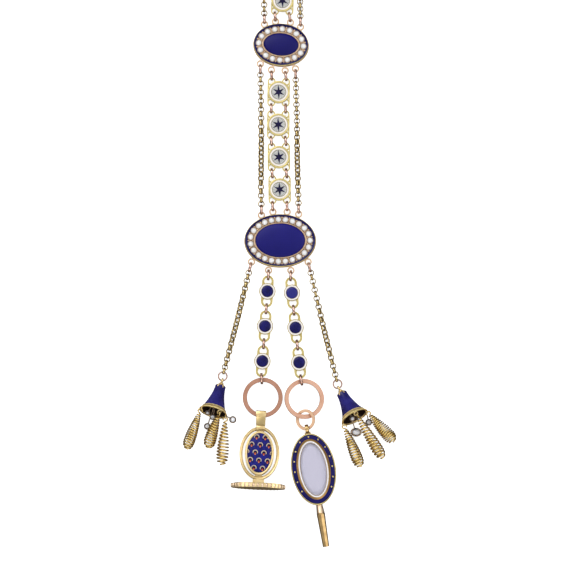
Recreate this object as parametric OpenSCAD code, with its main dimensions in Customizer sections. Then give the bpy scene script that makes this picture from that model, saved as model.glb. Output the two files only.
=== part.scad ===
// Chatelaine of gold, blue enamel and half pearls, laid out flat on its back.
// Millimetres. The origin is the middle of the lower plaque's back, +Y runs up to the hook, +Z is up.

/* [Plaques] */
// Half length of the lower plaque, side to side
lower_half_length = 11.9; // [11.5:0.1:12.5]
// Half height of the lower plaque
lower_half_height = 8.8; // [8.5:0.1:9.2]
// Half length of the upper plaque
upper_half_length = 9.25; // [9:0.05:9.6]
// Half height of the upper plaque
upper_half_height = 7.1; // [6.9:0.05:7.4]
// Turn of the upper plaque as it lies
upper_turn = -4.5; // [-6:0.5:0]
// Height of a plaque's wall
plaque_wall = 2.4; // [2.2:0.1:2.8]
// Diameter of a half pearl
pearl_diameter = 2; // [1.8:0.05:2.1]
// Half pearls round the lower plaque
lower_pearl_count = 23; // [18:1:23]
// Half pearls round the upper plaque
upper_pearl_count = 16; // [12:1:16]

/* [Hook] */
// Gap between the hook's tongue and its plate
hook_gap = 1.3; // [1:0.1:1.5]
// Thickness of the hook plate
hook_plate_thickness = 1.2; // [1:0.1:1.5]
// Length of the hook's tongue
tongue_length = 12; // [9:0.5:13]

/* [Chain and rings] */
// Inner radius of a chain link
link_inner = 0.84; // [0.82:0.01:0.86]
// Outer radius of a chain link
link_outer = 1.07; // [1.04:0.01:1.1]
// Width of a chain link's wire
link_width = 0.72; // [0.66:0.02:0.76]
// Longest spacing between two chain links
link_spacing = 1.46; // [1.42:0.005:1.47]
// Inner radius of a jump ring
jump_inner = 1.3; // [1.3:0.01:1.34]
// Outer radius of a jump ring
jump_outer = 1.68; // [1.64:0.01:1.7]
// Width of a jump ring's wire
jump_width = 0.8; // [0.6:0.02:0.84]
// Outer radius of a split ring
split_outer = 6.65; // [6.5:0.05:6.7]
// Inner radius of a split ring
split_inner = 5.2; // [5.1:0.05:5.3]
// Thickness of a split ring
split_thickness = 0.7; // [0.6:0.05:0.75]

/* [Star and circle links] */
// Outer radius of a star link's disc
star_radius = 3.75; // [3.6:0.05:3.8]
// Radius to the tips of the inlaid star
star_tip = 2.05; // [1.7:0.05:2.15]
// Outer radius of a circle link's disc
circle_radius = 2.75; // [2.6:0.05:2.8]
// Radius of a circle link's blue middle
circle_blue = 1.9; // [1.6:0.02:1.94]

/* [Seal] */
// Half length of the seal plate
seal_plate_half_length = 8.95; // [8:0.05:9.2]
// Half height of the seal plate
seal_plate_half_height = 3.8; // [3.5:0.1:3.8]
// Slope of the seal from its bail up to its plate
seal_slope = 5.5; // [5.5:0.1:6]

/* [Watch key] */
// Half length of the key's oval locket
key_half_length = 11.9; // [11:0.1:12]
// Half width of the key's oval locket
key_half_width = 7.35; // [7:0.05:7.6]
// Thickness of the key's locket
key_thickness = 3; // [2.6:0.1:3.2]
// Width of the square hole in the key's pipe
key_square = 1.2; // [0.8:0.1:1.3]
// Turn of the key's bow ring about the key's length
bow_tilt = 26; // [24:1:28]

/* [Tassels] */
// Length of a tassel bell along its axis
bell_length = 9.6; // [9.2:0.05:9.8]
// Radius of a bell's mouth
bell_mouth = 4.8; // [4.6:0.05:5]
// Slope of a bell as it lies on its rim
bell_slope = 18; // [17.5:0.5:20]
// Radius of a coil's wire
coil_wire = 0.22; // [0.15:0.01:0.23]

/* [Hidden] */
$fn = 72;
clear = 0.03;
bed_height = 2;
eye_z = 1.5;
eye_inner = 0.75;
eye_outer = 1.25;
eye_thick = 0.5;
eye_to_jump = 1.86;
jump_to_link = 1.9;
rest_z = 1.09;
end_rise = 8;
jump_z = jump_outer;

// Plaques: middle, pearl ellipse and centre ellipse
upper_at = [0.27, 65.85];
lower_pearl_oval = [9.93, 7.02];
upper_pearl_oval = [7.47, 5.23];
lower_centre_oval = [8.27, 5.67];
upper_centre_oval = [5.82, 3.78];

// Eyes on a plaque's edge: x on the outline, side (1 top, -1 bottom), stand-off from the edge
upper_eyes = [[-5.6, 1, 0.95], [-2.3, 1, 0.85], [2.35, 1, 1], [5.55, 1, 1],
              [-5.65, -1, 1.5], [-2.2, -1, 1.82], [1.8, -1, 1.62], [4.75, -1, 1.7]];
lower_eyes = [[-5.9, 1, 0.95], [-2.3, 1, 1.02], [2.17, 1, 1.02], [5.7, 1, 1.25],
              [-8.7, -1, 1.4], [-3.53, -1, 1.55], [3.25, -1, 1.55], [8.55, -1, 1.25]];
hook_at = [0.45, 95.5];
hook_oval = [9.3, 7.1];
hook_eyes = [[-5.6, -1, 0.9], [-2.35, -1, 0.9], [2.35, -1, 0.9], [5.6, -1, 0.9]];
tongue_thick = 0.7;
hook_z = tongue_thick + hook_gap;
hook_eye_z = hook_z + 0.4;

// Star links, the first above the upper plaque: x, y, turn
stars = [[0.75, 80.75, -1.5], [-0.53, 49.9, -1], [-0.65, 38.92, -0.5], [-0.45, 28.03, 0.5], [-0.2, 17.14, 0.5]];
star_lift = 2.4;
ear_x = 2.4;
ear_y = 3.53;
ear_outer = 1.35;
ear_inner = 0.9;
ear_reach = ear_y + (ear_outer + ear_inner) / 2;
disc_low = 1.05;
disc_floor = 1.75;
disc_top = 1.95;
star_white_inner = 2.56;
star_white_outer = 3.08;

// Circle links: x, y, turn
left_circles = [[-4.27, -16.95, -3.5], [-5.05, -28.6, -4], [-5.93, -40.25, -4.6]];
right_circles = [[3.93, -17.47, 5.5], [5.08, -29.07, 5.9], [6.33, -40.7, 6.3]];
loop_y = 3.38;
loop_outer = 1.95;
loop_inner = 1.2;
loop_reach = loop_y + (loop_outer + loop_inner) / 2;
strand_inner = 1.45;
strand_outer = 1.8;
strand_split_inner = 1.5;
strand_split_outer = 1.85;

// Split rings: middle, height of their mid plane, tilt about Y
split_left_at = [-5.8, -52.38, 1.6];
split_right_at = [8, -52.85, 2];
split_right_tilt = 8;
split_left_jump = [-6.16, -46.1, 1.85];
split_right_jump = [6.96, -46.53, 1.85];

// Seal, measured along its axis from the middle of the band in its bail
seal_at = [-6.35, -58.28, 1.6];
seal_turn = -2.35;
seal_frame_y = -12.73;
seal_frame_oval = [6.6, 8.84];
seal_frame_wide = 1;
seal_bezel_oval = [4.78, 7.34];
seal_enamel_oval = [4.02, 6.58];
seal_plate_y = -23.76;
seal_plate_thick = 1.3;

// Key, measured along its axis from the middle of its bow ring
key_at = [8.4, -59.75, 2];
key_turn = 9.2;
key_axis_z = key_thickness / 2 - key_at[2];
key_body_y = -16.67;
key_tip_y = -42.6;
bow_inner = 2.5;
bow_outer = 3.5;
bow_thick = 0.7;
key_bail_y = -3.05;

// Tassels: middle of the bell's top, direction of its axis in plan, direction from its eye to its ring
bell_tops = [[-19.8, -48.67, 1.68], [20.45, -51.03, 1.68]];
bell_headings = [-105.5, -62.3];
ring_headings = [84, 108];
bell_eye_s = -2.1;
bell_skirt = 8.2;
bell_neck = 1.75;
enamel_thick = 0.3;
ring_wire = 0.25;
ring_radius = 1.43;
eye_to_ring = 1.5;
ring_to_link = 1.8;

// Coils of each tassel: angle of the eyelet round the rim, its distance along the axis, lower end of the coil
left_coils = [[160, 9.95, [-31.1, -69.4, 2]], [62, 10.25, [-24, -68.8, 1.7]], [0, 9.95, [-19.4, -74.7, 2.1]]];
right_coils = [[180, 9.95, [26.6, -75.4, 2.1]], [80, 10.25, [34, -72.5, 1.7]], [5, 9.95, [37.8, -66.9, 2.3]]];
// Coil sizes: largest radius, turns
left_coil_sizes = [[1.85, 16], [1.9, 15], [1.95, 13]];
right_coil_sizes = [[1.9, 13], [1.9, 13], [2.15, 17]];
// Shape of a coil: share of its length, share of its largest radius
coil_shape = [[0, 0.25], [0.1, 0.5], [0.3, 0.78], [0.6, 0.97], [0.8, 1], [0.93, 0.78], [1, 0.2]];
coil_lead = 1.9;
hook_loop = 0.7;
hook_turn = 300;
eyelet_inner = 0.5;
eyelet_outer = 0.8;
eyelet_to_loop = 0.78;
wire_sides = 5;
turn_steps = 10;

// Pearl drops: middle of the pearl's base, pearl radius, length over width
left_drops = [[[-22.4, -58.9, 3], 0.8, 1], [[-24.2, -61.9, 1.4], 0.9, 1], [[-24.1, -57.5, 3.2], 0.6, 1]];
right_drops = [[[23.9, -59.5, 4], 0.75, 1], [[25.2, -63.9, 1.65], 1.2, 1.3], [[26.2, -59.4, 3.4], 0.65, 1]];
// Drops beside the rim: middle of the pearl's base, pearl radius, and where the rim carries it: distance along the
// bell's axis, distance from it, angle round it
left_side_drop = [[-15.7, -59.8, 3.2], 1, [9.45, 5, -7]];
right_side_drop = [[29.4, -60.6, 2], 0.9, [10.2, 4.6, -27]];
drop_wire = 0.18;
drop_wall = 0.2;
drop_base = 0.6;

// Plain vector helpers
function unit(v) = v / norm(v);
function heading(v) = atan2(v[1], v[0]);
function turned(v, a) = [v[0] * cos(a) - v[1] * sin(a), v[0] * sin(a) + v[1] * cos(a)];
function plan(v) = [v[0], v[1]];

// Middle of an eye that stands off the edge of an oval plaque
function eye_at(oval, row, turn, at) =
    let (x = row[0], y = row[1] * oval[1] * sqrt(1 - pow(x / oval[0], 2)),
         out = unit([x / pow(oval[0], 2), y / pow(oval[1], 2)]))
    at + turned([x, y] + row[2] * out, turn);
function upper_eye(i) = eye_at([upper_half_length, upper_half_height], upper_eyes[i], upper_turn, upper_at);
function lower_eye(i) = eye_at([lower_half_length, lower_half_height], lower_eyes[i], 0, [0, 0]);
function hook_eye(i) = eye_at(hook_oval, hook_eyes[i], 0, hook_at);

// Middle of the wire of an ear or loop: side is -1 or 1 in x, end is 1 at the top and -1 at the bottom
function ear_at(star, side, end) = plan(star) + turned([side * ear_x, end * ear_reach], star[2]);
function loop_at(circle, end) = plan(circle) + turned([0, end * loop_reach], circle[2]);
// Middle of an eye's wire on the side that faces a point
function eye_wire(eye, to) = eye + (eye_inner + eye_outer) / 2 * unit(to - eye);

// Angles that space n stones evenly by length round an ellipse
function arc_table(oval, steps = 120) =
    let (p = [for (i = [0:steps]) [oval[0] * cos(360 * i / steps), oval[1] * sin(360 * i / steps)]])
    [for (i = 0, s = 0; i <= steps; i = i + 1, s = i > steps ? s : s + norm(p[i] - p[i - 1])) [s, 360 * i / steps]];
function even_angles(n, oval) =
    let (t = arc_table(oval), total = t[len(t) - 1][0]) [for (k = [0:n - 1]) lookup(total * k / n, t)];

// A ring about Z with a wire that is flat inside and rounded at its corners
module ring(inner, outer, width) {
    h = width / 2;
    c = min(0.08, (outer - inner) / 3);
    rotate_extrude()
        polygon([[inner, -h / 2], [inner + c, -h], [outer - c, -h], [outer, -h / 2],
                 [outer, h / 2], [outer - c, h], [inner + c, h], [inner, h / 2]]);
}

// Turns a ring about the run of its chain: roll 0 lies flat, roll 90 stands upright
module on_run(at, direction, roll, slope = 0)
    translate(at) rotate([0, 0, direction]) rotate([0, -slope, 0]) rotate([roll, 0, 0]) children();

module oval_disc(oval, low, high)
    translate([0, 0, low]) scale([1, oval[1] / oval[0], 1]) cylinder(r = oval[0], h = high - low);
module oval_ring(outer, inner, low, high)
    difference() {
        oval_disc(outer, low, high);
        oval_disc(inner, low - 1, high + 1);
    }
// An oval cushion: a short wall that carries a shallow crown
module oval_dome(oval, low, edge, crown) {
    steps = 10;
    translate([0, 0, low]) scale([1, oval[1] / oval[0], 1]) rotate_extrude()
        polygon(concat([[0, 0], [oval[0], 0]],
                       [for (i = [0:steps]) [oval[0] * (1 - i / steps), edge + crown * (1 - pow(1 - i / steps, 2))]]));
}
// A rod between two points
module rod(from, to, radius) {
    run = to - from;
    translate(from) rotate([0, acos(run[2] / norm(run)), heading(run)]) cylinder(r = radius, h = norm(run));
}
// An eye with a foot that reaches into the plaque behind it
module eye(at, toward, z, foot = 1.8)
    translate([at[0], at[1], z]) {
        ring(eye_inner, eye_outer, eye_thick);
        rotate([0, 0, heading(toward - at)]) translate([0.95, -0.4, -0.28]) cube([foot, 0.8, 0.56]);
    }

// Plaques
module plaque_mount(half, pearls, centre, at, turn, eyes) {
    flange = 0.12;
    rim = 0.38;
    bed = 0.55;
    collar = pearl_diameter / 2 + 0.1;
    color("goldenrod") translate([at[0], at[1], 0]) rotate([0, 0, turn]) {
        oval_disc([half[0] + flange, half[1] + flange], 0, 0.5);
        oval_disc(half, 0, bed_height);
        oval_ring(half, [half[0] - rim, half[1] - rim], bed_height - 0.2, plaque_wall);
        oval_ring([pearls[0] + bed, pearls[1] + bed], [centre[0] + 0.3, centre[1] + 0.15],
                  bed_height - 0.2, bed_height + 0.3);
        oval_ring([pearls[0] - collar, pearls[1] - collar], [centre[0] + 0.06, centre[1] + 0.06],
                  bed_height - 0.1, bed_height + 0.75);
    }
    color("rosybrown") for (e = eyes) eye(e, at, eye_z);
}
module border_enamel(half, pearls, at, turn) {
    rim = 0.38 + clear;
    bed = 0.55 + clear;
    color("midnightblue") translate([at[0], at[1], 0]) rotate([0, 0, turn])
        oval_ring([half[0] - rim, half[1] - rim], [pearls[0] + bed, pearls[1] + bed],
                  bed_height + clear, bed_height + 0.26);
}
module centre_enamel(centre, at, turn)
    color("navy") translate([at[0], at[1], 0]) rotate([0, 0, turn])
        oval_dome(centre, bed_height + clear, 0.45, 0.85);
module half_pearls(count, oval, at, turn)
    color("ivory") translate([at[0], at[1], bed_height + 0.3 + clear]) rotate([0, 0, turn])
        for (a = even_angles(count, oval))
            translate([oval[0] * cos(a), oval[1] * sin(a), 0]) rotate_extrude()
                intersection() {
                    circle(d = pearl_diameter);
                    square(pearl_diameter);
                }

module hook_plate() {
    top = hook_z + hook_plate_thickness;
    color("goldenrod") {
        translate([hook_at[0], hook_at[1], 0]) {
            oval_disc(hook_oval, hook_z, top);
            oval_ring([hook_oval[0] - 0.3, hook_oval[1] - 0.3], [hook_oval[0] - 1.2, hook_oval[1] - 1.2],
                      top - 0.2, top + 0.4);
            translate([-2.5, hook_oval[1] - 1.9 - tongue_length, 0]) {
                translate([0, 2.5, 0]) cube([5, tongue_length - 2.5, tongue_thick]);
                translate([2.5, 2.5, 0]) cylinder(r = 2.5, h = tongue_thick);
                translate([0, tongue_length - 1, 0]) cube([5, 1, hook_z + 0.3]);
            }
        }
        for (i = [0:3]) eye(hook_eye(i), hook_at, hook_eye_z);
    }
}

// Star links
module place_star(i)
    translate([stars[i][0], stars[i][1], i == 0 ? 0.2 : 0]) rotate([0, 0, stars[i][2]])
        translate([0, 0, eye_z]) rotate([i == 0 ? star_lift : 0, 0, 0]) translate([0, 0, -eye_z]) children();
module star_link(i)
    color("goldenrod") place_star(i) {
        translate([0, 0, disc_low]) cylinder(r = star_radius, h = disc_floor - disc_low);
        translate([0, 0, disc_floor - 0.1])
            difference() {
                cylinder(r = star_radius, h = disc_top - disc_floor + 0.1);
                translate([0, 0, -1]) cylinder(r = star_white_outer + clear, h = 3);
            }
        for (x = [-1, 1], y = [-1, 1])
            translate([x * ear_x, y * ear_y, eye_z - 0.225])
                difference() {
                    union() {
                        cylinder(r = ear_outer, h = 0.45);
                        translate([x > 0 ? ear_outer - 0.45 : -ear_outer, y > 0 ? -ear_y + 0.5 : 0, 0])
                            cube([0.45, ear_y - 0.5, 0.45]);
                    }
                    translate([0, 0, -1]) cylinder(r = ear_inner, h = 3);
                }
    }
module star_white_enamels()
    color("floralwhite") for (i = [0:len(stars) - 1]) place_star(i)
        translate([0, 0, disc_floor + clear]) difference() {
            cylinder(r = star_white_outer, h = 0.2);
            translate([0, 0, -1]) cylinder(r = star_white_inner, h = 3);
        }
module star_centres()
    color("lightgray") for (i = [0:len(stars) - 1]) place_star(i)
        translate([0, 0, disc_floor + clear]) cylinder(r = star_white_inner - 0.1, h = 0.1);
module star_blue_inlays()
    color("midnightblue") for (i = [0:len(stars) - 1]) place_star(i)
        translate([0, 0, disc_floor + 0.2]) linear_extrude(0.12)
            polygon([for (k = [0:11])
                let (reach = k % 6 == 0 ? 1.13 : k % 2 == 0 ? 1 : 0.32)
                reach * star_tip * [sin(30 * k - 3), cos(30 * k - 3)]]);

// Circle links
module place_circle(row) translate([row[0], row[1], 0]) rotate([0, 0, row[2]]) children();
module circle_link(row)
    color("goldenrod") place_circle(row) {
        translate([0, 0, disc_low]) cylinder(r = circle_radius, h = disc_floor - disc_low);
        translate([0, 0, disc_floor - 0.1])
            difference() {
                cylinder(r = circle_radius, h = disc_top - disc_floor + 0.1);
                translate([0, 0, -1]) cylinder(r = circle_radius - 0.2, h = 3);
            }
        for (y = [-1, 1])
            translate([0, y * loop_y, eye_z - 0.25])
                difference() {
                    union() {
                        cylinder(r = loop_outer, h = 0.5);
                        for (x = [loop_inner, -loop_outer])
                            translate([x, y > 0 ? -1.6 : 0, 0]) cube([loop_outer - loop_inner, 1.6, 0.5]);
                    }
                    translate([0, 0, -1]) cylinder(r = loop_inner, h = 3);
                }
    }
module circle_white_enamels()
    color("floralwhite") for (row = concat(left_circles, right_circles)) place_circle(row)
        translate([0, 0, disc_floor + clear]) difference() {
            cylinder(r = circle_radius - 0.2 - clear, h = 0.22);
            translate([0, 0, -1]) cylinder(r = circle_blue + 0.1, h = 3);
        }
module circle_blue_enamels()
    color("navy") for (row = concat(left_circles, right_circles)) place_circle(row)
        translate([0, 0, disc_floor + clear]) cylinder(r = circle_blue, h = 0.3);

// Chains: two end points, sideways bow, heights of the ends, roll along the run
function chain_xy(f, from, to, bow) = from + f * (to - from) + lookup(f, bow) * turned(unit(to - from), 90);
function chain_z(s, left, ends) =
    rest_z + (ends[0] - rest_z) * pow(max(0, 1 - s / end_rise), 2)
        + (ends[1] - rest_z) * pow(max(0, 1 - left / end_rise), 2);
function chain_point(f, from, to, bow, ends) =
    let (p = chain_xy(f, from, to, bow), whole = norm(to - from))
    [p[0], p[1], chain_z(f * whole, (1 - f) * whole, ends)];
function link_steps(from, to, odd) = 2 * ceil((norm(to - from) / link_spacing - odd) / 2) + odd;
module chain(from, to, bow, ends, roll, odd = 0) {
    n = link_steps(from, to, odd);
    color("khaki") for (i = [0:n]) {
        f = i / n;
        run = chain_point(f + 0.01, from, to, bow, ends) - chain_point(f - 0.01, from, to, bow, ends);
        on_run(chain_point(f, from, to, bow, ends), heading(run), 90 * i + lookup(f, roll),
               atan2(run[2], norm(plan(run))))
            ring(link_inner, link_outer, link_width);
    }
}
end_gap = eye_to_jump + jump_to_link;
module chain_between(a, b, bow, ends, roll)
    let (u = unit(b - a)) chain(a + end_gap * u, b - end_gap * u, bow, ends, roll);
module upper_chain_left()
    chain_between(upper_eye(0), hook_eye(0), [[0, 0], [1, 0]], [eye_z, 1.95], [[0, 0], [1, 0]]);
module upper_chain_right()
    chain_between(upper_eye(3), hook_eye(3), [[0, 0], [1, 0]], [eye_z, 1.95], [[0, 0], [1, 0]]);
module long_chain_left()
    chain_between(upper_eye(4), lower_eye(0), [[0, 0], [0.1, 0.08], [0.5, 0.15], [0.75, 0], [0.87, -0.12], [1, 0]],
                  [eye_z, eye_z], [[0, 0], [0.3, 8], [0.6, 45], [0.7, 45], [1, 0]]);
module long_chain_right()
    chain_between(upper_eye(7), lower_eye(3), [[0, 0], [0.3, 0.1], [0.65, -0.08], [1, 0]],
                  [eye_z, eye_z], [[0, 0], [0.35, 4], [0.63, 43], [0.7, 45], [1, 0]]);

// Middle of the last link before a tassel's ring
function tassel_eye(k) = k == 0 ? lower_eye(4) : lower_eye(7);
function last_link(k) =
    let (r = plan(ring_middle(k))) r + ring_to_link * unit(tassel_eye(k) - r);
module tassel_chain(k)
    let (a = tassel_eye(k), b = last_link(k), u = unit(b - a))
        chain(a + end_gap * u, b, [[0, 0], [0.5, k == 0 ? 0.15 : -0.15], [1, 0]], [eye_z, rest_z],
              k == 0 ? [[0, 0], [0.42, 44], [0.56, 46], [1, 0]] : [[0, 0], [0.2, 2], [0.6, 45], [1, 0]], 1);

// Jump rings
module jump_at(at, direction, inner = jump_inner, outer = jump_outer)
    on_run(at, direction, 90) ring(inner, outer, jump_width);
module jump_between(p, q, z = jump_z, inner = jump_inner, outer = jump_outer)
    let (m = (p + q) / 2) jump_at([m[0], m[1], z], heading(q - p), inner, outer);
module jump_from_eye(e, to, z = jump_z)
    let (u = unit(to - e), m = e + eye_to_jump * u) jump_at([m[0], m[1], z], heading(u));
module top_jump_rings()
    color("rosybrown") {
        jump_from_eye(upper_eye(0), hook_eye(0));
        jump_from_eye(upper_eye(3), hook_eye(3));
        jump_from_eye(hook_eye(0), upper_eye(0), 2.15);
        jump_from_eye(hook_eye(3), upper_eye(3), 2.15);
        for (k = [0, 1]) {
            low = ear_at(stars[0], 2 * k - 1, -1);
            jump_between(eye_wire(upper_eye(1 + k), low), low);
            high = ear_at(stars[0], 2 * k - 1, 1);
            jump_between(eye_wire(hook_eye(1 + k), high), high, 2.15);
        }
    }
module star_jump_rings()
    color("rosybrown") for (k = [0, 1]) {
        side = 2 * k - 1;
        first = ear_at(stars[1], side, 1);
        last = ear_at(stars[4], side, -1);
        jump_between(eye_wire(upper_eye(5 + k), first), first);
        jump_between(eye_wire(lower_eye(1 + k), last), last);
        for (i = [1:3]) jump_between(ear_at(stars[i], side, -1), ear_at(stars[i + 1], side, 1));
    }
module chain_jump_rings()
    color("rosybrown") {
        jump_from_eye(upper_eye(4), lower_eye(0));
        jump_from_eye(lower_eye(0), upper_eye(4));
        jump_from_eye(upper_eye(7), lower_eye(3));
        jump_from_eye(lower_eye(3), upper_eye(7));
        for (k = [0, 1]) jump_from_eye(tassel_eye(k), last_link(k));
    }
module strand_jump_rings()
    color("rosybrown") for (k = [0, 1]) {
        strand = k == 0 ? left_circles : right_circles;
        first = loop_at(strand[0], 1);
        jump_between(eye_wire(lower_eye(5 + k), first), first, strand_outer, strand_inner, strand_outer);
        for (i = [0, 1])
            jump_between(loop_at(strand[i], -1), loop_at(strand[i + 1], 1), strand_outer, strand_inner, strand_outer);
        at = k == 0 ? split_left_jump : split_right_jump;
        ring_middle = k == 0 ? split_left_at : split_right_at;
        jump_at(at, heading(plan(at) - plan(ring_middle)), strand_split_inner, strand_split_outer);
    }

// Split rings
module split_ring(at, tilt)
    color("rosybrown") translate(at) rotate([0, tilt, 0]) ring(split_inner, split_outer, split_thickness);

// Seal
module in_seal() translate(seal_at) rotate([0, 0, seal_turn]) rotate([-seal_slope, 0, 0]) children();
module seal_bail() {
    low = -5.3;
    high = 1.62;
    bore = 0.55;
    wall = 0.33;
    roll = bore + wall;
    difference() {
        translate([-1.9, 0, 0]) rotate([90, 0, 90]) linear_extrude(3.8)
            difference() {
                union() {
                    translate([high - roll, 0]) circle(r = roll);
                    translate([low, -0.7]) square([-low - 1.5, 1.4]);
                    translate([-2, -roll]) square([2 + high - roll, 2 * roll]);
                }
                translate([high - roll, 0]) circle(r = bore);
                translate([-1.5, -bore]) square([1.5 + high - roll, 2 * bore]);
            }
        for (x = [-1, 1])
            translate([0, 0, -2]) linear_extrude(4)
                polygon([[x * 1.66, high + 0.1], [x * 1.36, low - 0.1], [x * 3, low - 0.1], [x * 3, high + 0.1]]);
    }
}
module seal_body()
    color("gold") in_seal() {
        seal_bail();
        translate([0, seal_frame_y, 0]) {
            oval_ring(seal_frame_oval, [seal_frame_oval[0] - seal_frame_wide, seal_frame_oval[1] - seal_frame_wide],
                      -0.65, 0.65);
            difference() {
                oval_disc(seal_bezel_oval, -1.1, 1.3);
                oval_disc([seal_enamel_oval[0] + 0.06, seal_enamel_oval[1] + 0.06], 0.6, 2);
            }
            for (y = [-1, 1]) translate([-1.2, y * 7.5 - 0.6, -0.6]) cube([2.4, 1.2, 1.2]);
        }
        translate([-1.9, seal_plate_y + 0.3, -0.9]) cube([3.8, 2, 1.8]);
        translate([0, seal_plate_y + seal_plate_thick / 2, 0]) rotate([90, 0, 0])
            oval_disc([seal_plate_half_length, seal_plate_half_height], 0, seal_plate_thick);
        translate([0, seal_plate_y + seal_plate_thick / 2 + 0.3, 0]) rotate([90, 0, 0])
            oval_disc([seal_plate_half_length - 1, seal_plate_half_height - 1], 0, 0.5);
    }
module seal_enamel()
    color("darkblue") in_seal() translate([0, seal_frame_y, 0]) oval_dome(seal_enamel_oval, 0.6 + clear, 0.5, 0.6);

// Watch key
module in_key() translate(key_at) rotate([0, 0, key_turn]) children();
module key_bow_ring()
    color("rosybrown") in_key() rotate([0, -bow_tilt, 0]) ring(bow_inner, bow_outer, bow_thick);
module key_body()
    color("goldenrod") in_key() {
        low = key_axis_z - key_thickness / 2;
        high = key_axis_z + key_thickness / 2;
        translate([0, key_bail_y, 0]) rotate([0, 90, 0]) ring(1.05, 1.45, 1.2);
        translate([-1, key_bail_y - 2.2, -1.05]) cube([2, 1, 1.5]);
        translate([0, key_body_y, 0]) {
            difference() {
                oval_disc([key_half_width, key_half_length], low, high - 0.5);
                oval_disc([4.68, 9.23], high - 1, high + 1);
            }
            oval_ring([key_half_width, key_half_length], [key_half_width - 0.35, key_half_length - 0.35],
                      high - 0.7, high - 0.1);
            oval_ring([5.55, 10.1], [4.75, 9.3], high - 0.7, high);
        }
        translate([0, 0, key_axis_z]) rotate([90, 0, 0]) {
            difference() {
                union() {
                    translate([0, 0, 27.6]) cylinder(r1 = 0.9, r2 = 1.2, h = 4);
                    translate([0, 0, 31.5]) cylinder(r1 = 1.38, r2 = 1.05, h = -key_tip_y - 31.5, $fn = 8);
                }
                translate([-key_square / 2, -key_square / 2, -key_tip_y - 4]) cube([key_square, key_square, 5]);
            }
        }
    }
module key_enamel()
    color("midnightblue") in_key() translate([0, key_body_y, 0])
        oval_ring([key_half_width - 0.35 - clear, key_half_length - 0.35 - clear], [5.55 + clear, 10.1 + clear],
                  key_axis_z + key_thickness / 2 - 0.5 + clear, key_axis_z + key_thickness / 2 - 0.12);
module key_glass()
    color("lavender") in_key() translate([0, key_body_y, key_axis_z + key_thickness / 2 - 1 + clear])
        scale([4.62 / 9.17, 1, 1]) rotate_extrude() polygon([[0, 0], [9.17, 0], [9.17, 0.8], [7.9, 1.2], [0, 1.2]]);

// Tassels: k is 0 on the left and 1 on the right; distances run along the bell's axis from its top
function bell_axis(k) =
    let (h = bell_headings[k]) [cos(h) * cos(bell_slope), sin(h) * cos(bell_slope), sin(bell_slope)];
function bell_side(k) = let (h = bell_headings[k]) [-sin(h), cos(h), 0];
function bell_up(k) = cross(bell_axis(k), bell_side(k));
function bell_point(k, s, r, a) =
    bell_tops[k] + s * bell_axis(k) + r * (cos(a) * bell_side(k) + sin(a) * bell_up(k));
function bell_eye(k) = bell_point(k, bell_eye_s, 0, 0);
function ring_middle(k) = bell_eye(k) + eye_to_ring * [cos(ring_headings[k]), sin(ring_headings[k]), 0];
function bell_radius(s) = bell_neck + 2.1 * pow(s / bell_skirt, 1.7);
module in_bell(k)
    translate(bell_tops[k]) rotate([0, 0, bell_headings[k]]) rotate([0, -bell_slope, 0]) children();
function coil_rows(k) = k == 0 ? left_coils : right_coils;
function coil_sizes(k) = k == 0 ? left_coil_sizes : right_coil_sizes;

module bell(k) {
    s_list = [for (i = [0:7]) bell_skirt * i / 7];
    wall = 0.45;
    color("goldenrod") in_bell(k) {
        rotate([0, 90, 0]) rotate_extrude()
            polygon(concat(
                [[0, -1], [0.6, -1], [bell_neck - enamel_thick + 0.1, -0.1]],
                [for (s = s_list) [bell_radius(s) - enamel_thick, s]],
                [[bell_radius(bell_skirt) + 0.15, bell_skirt], [bell_mouth, bell_length],
                 [bell_mouth - wall, bell_length]],
                [for (i = [7:-1:1]) [bell_radius(s_list[i]) - enamel_thick - wall, s_list[i]]],
                [[0, s_list[1]]]));
        translate([bell_eye_s, 0, 0]) {
            rotate([90, 0, 0]) ring(0.55, 0.9, 0.6);
            translate([0.7, -0.3, -0.3]) cube([0.6, 0.6, 0.6]);
        }
    }
    color("goldenrod") for (i = [0:2]) {
        f = coil_frame(k, i);
        row = coil_rows(k)[i];
        framed(f) ring(eyelet_inner, eyelet_outer, 0.36);
        rod(bell_point(k, bell_length - 0.35, bell_mouth - 0.3, row[0]), f[0] - (eyelet_inner + 0.1) * f[1], 0.17);
    }
}
module bell_enamel(k) {
    s_list = [for (i = [0:7]) clear + (bell_skirt - 2 * clear) * i / 7];
    color("navy") in_bell(k) rotate([0, 90, 0]) rotate_extrude()
        polygon(concat([for (s = s_list) [bell_radius(s), s]],
                       [for (i = [7:-1:0]) [bell_radius(s_list[i]) - enamel_thick + clear, s_list[i]]]));
}
module tassel_ring(k)
    color("rosybrown") translate(ring_middle(k))
        ring(ring_radius - ring_wire, ring_radius + ring_wire, 2 * ring_wire);

// A coil: an open hook through its eyelet, a straight lead, then a swelling helix
function coil_eyelet(k, i) = bell_point(k, coil_rows(k)[i][1], bell_mouth - 0.4, coil_rows(k)[i][0]);
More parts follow.
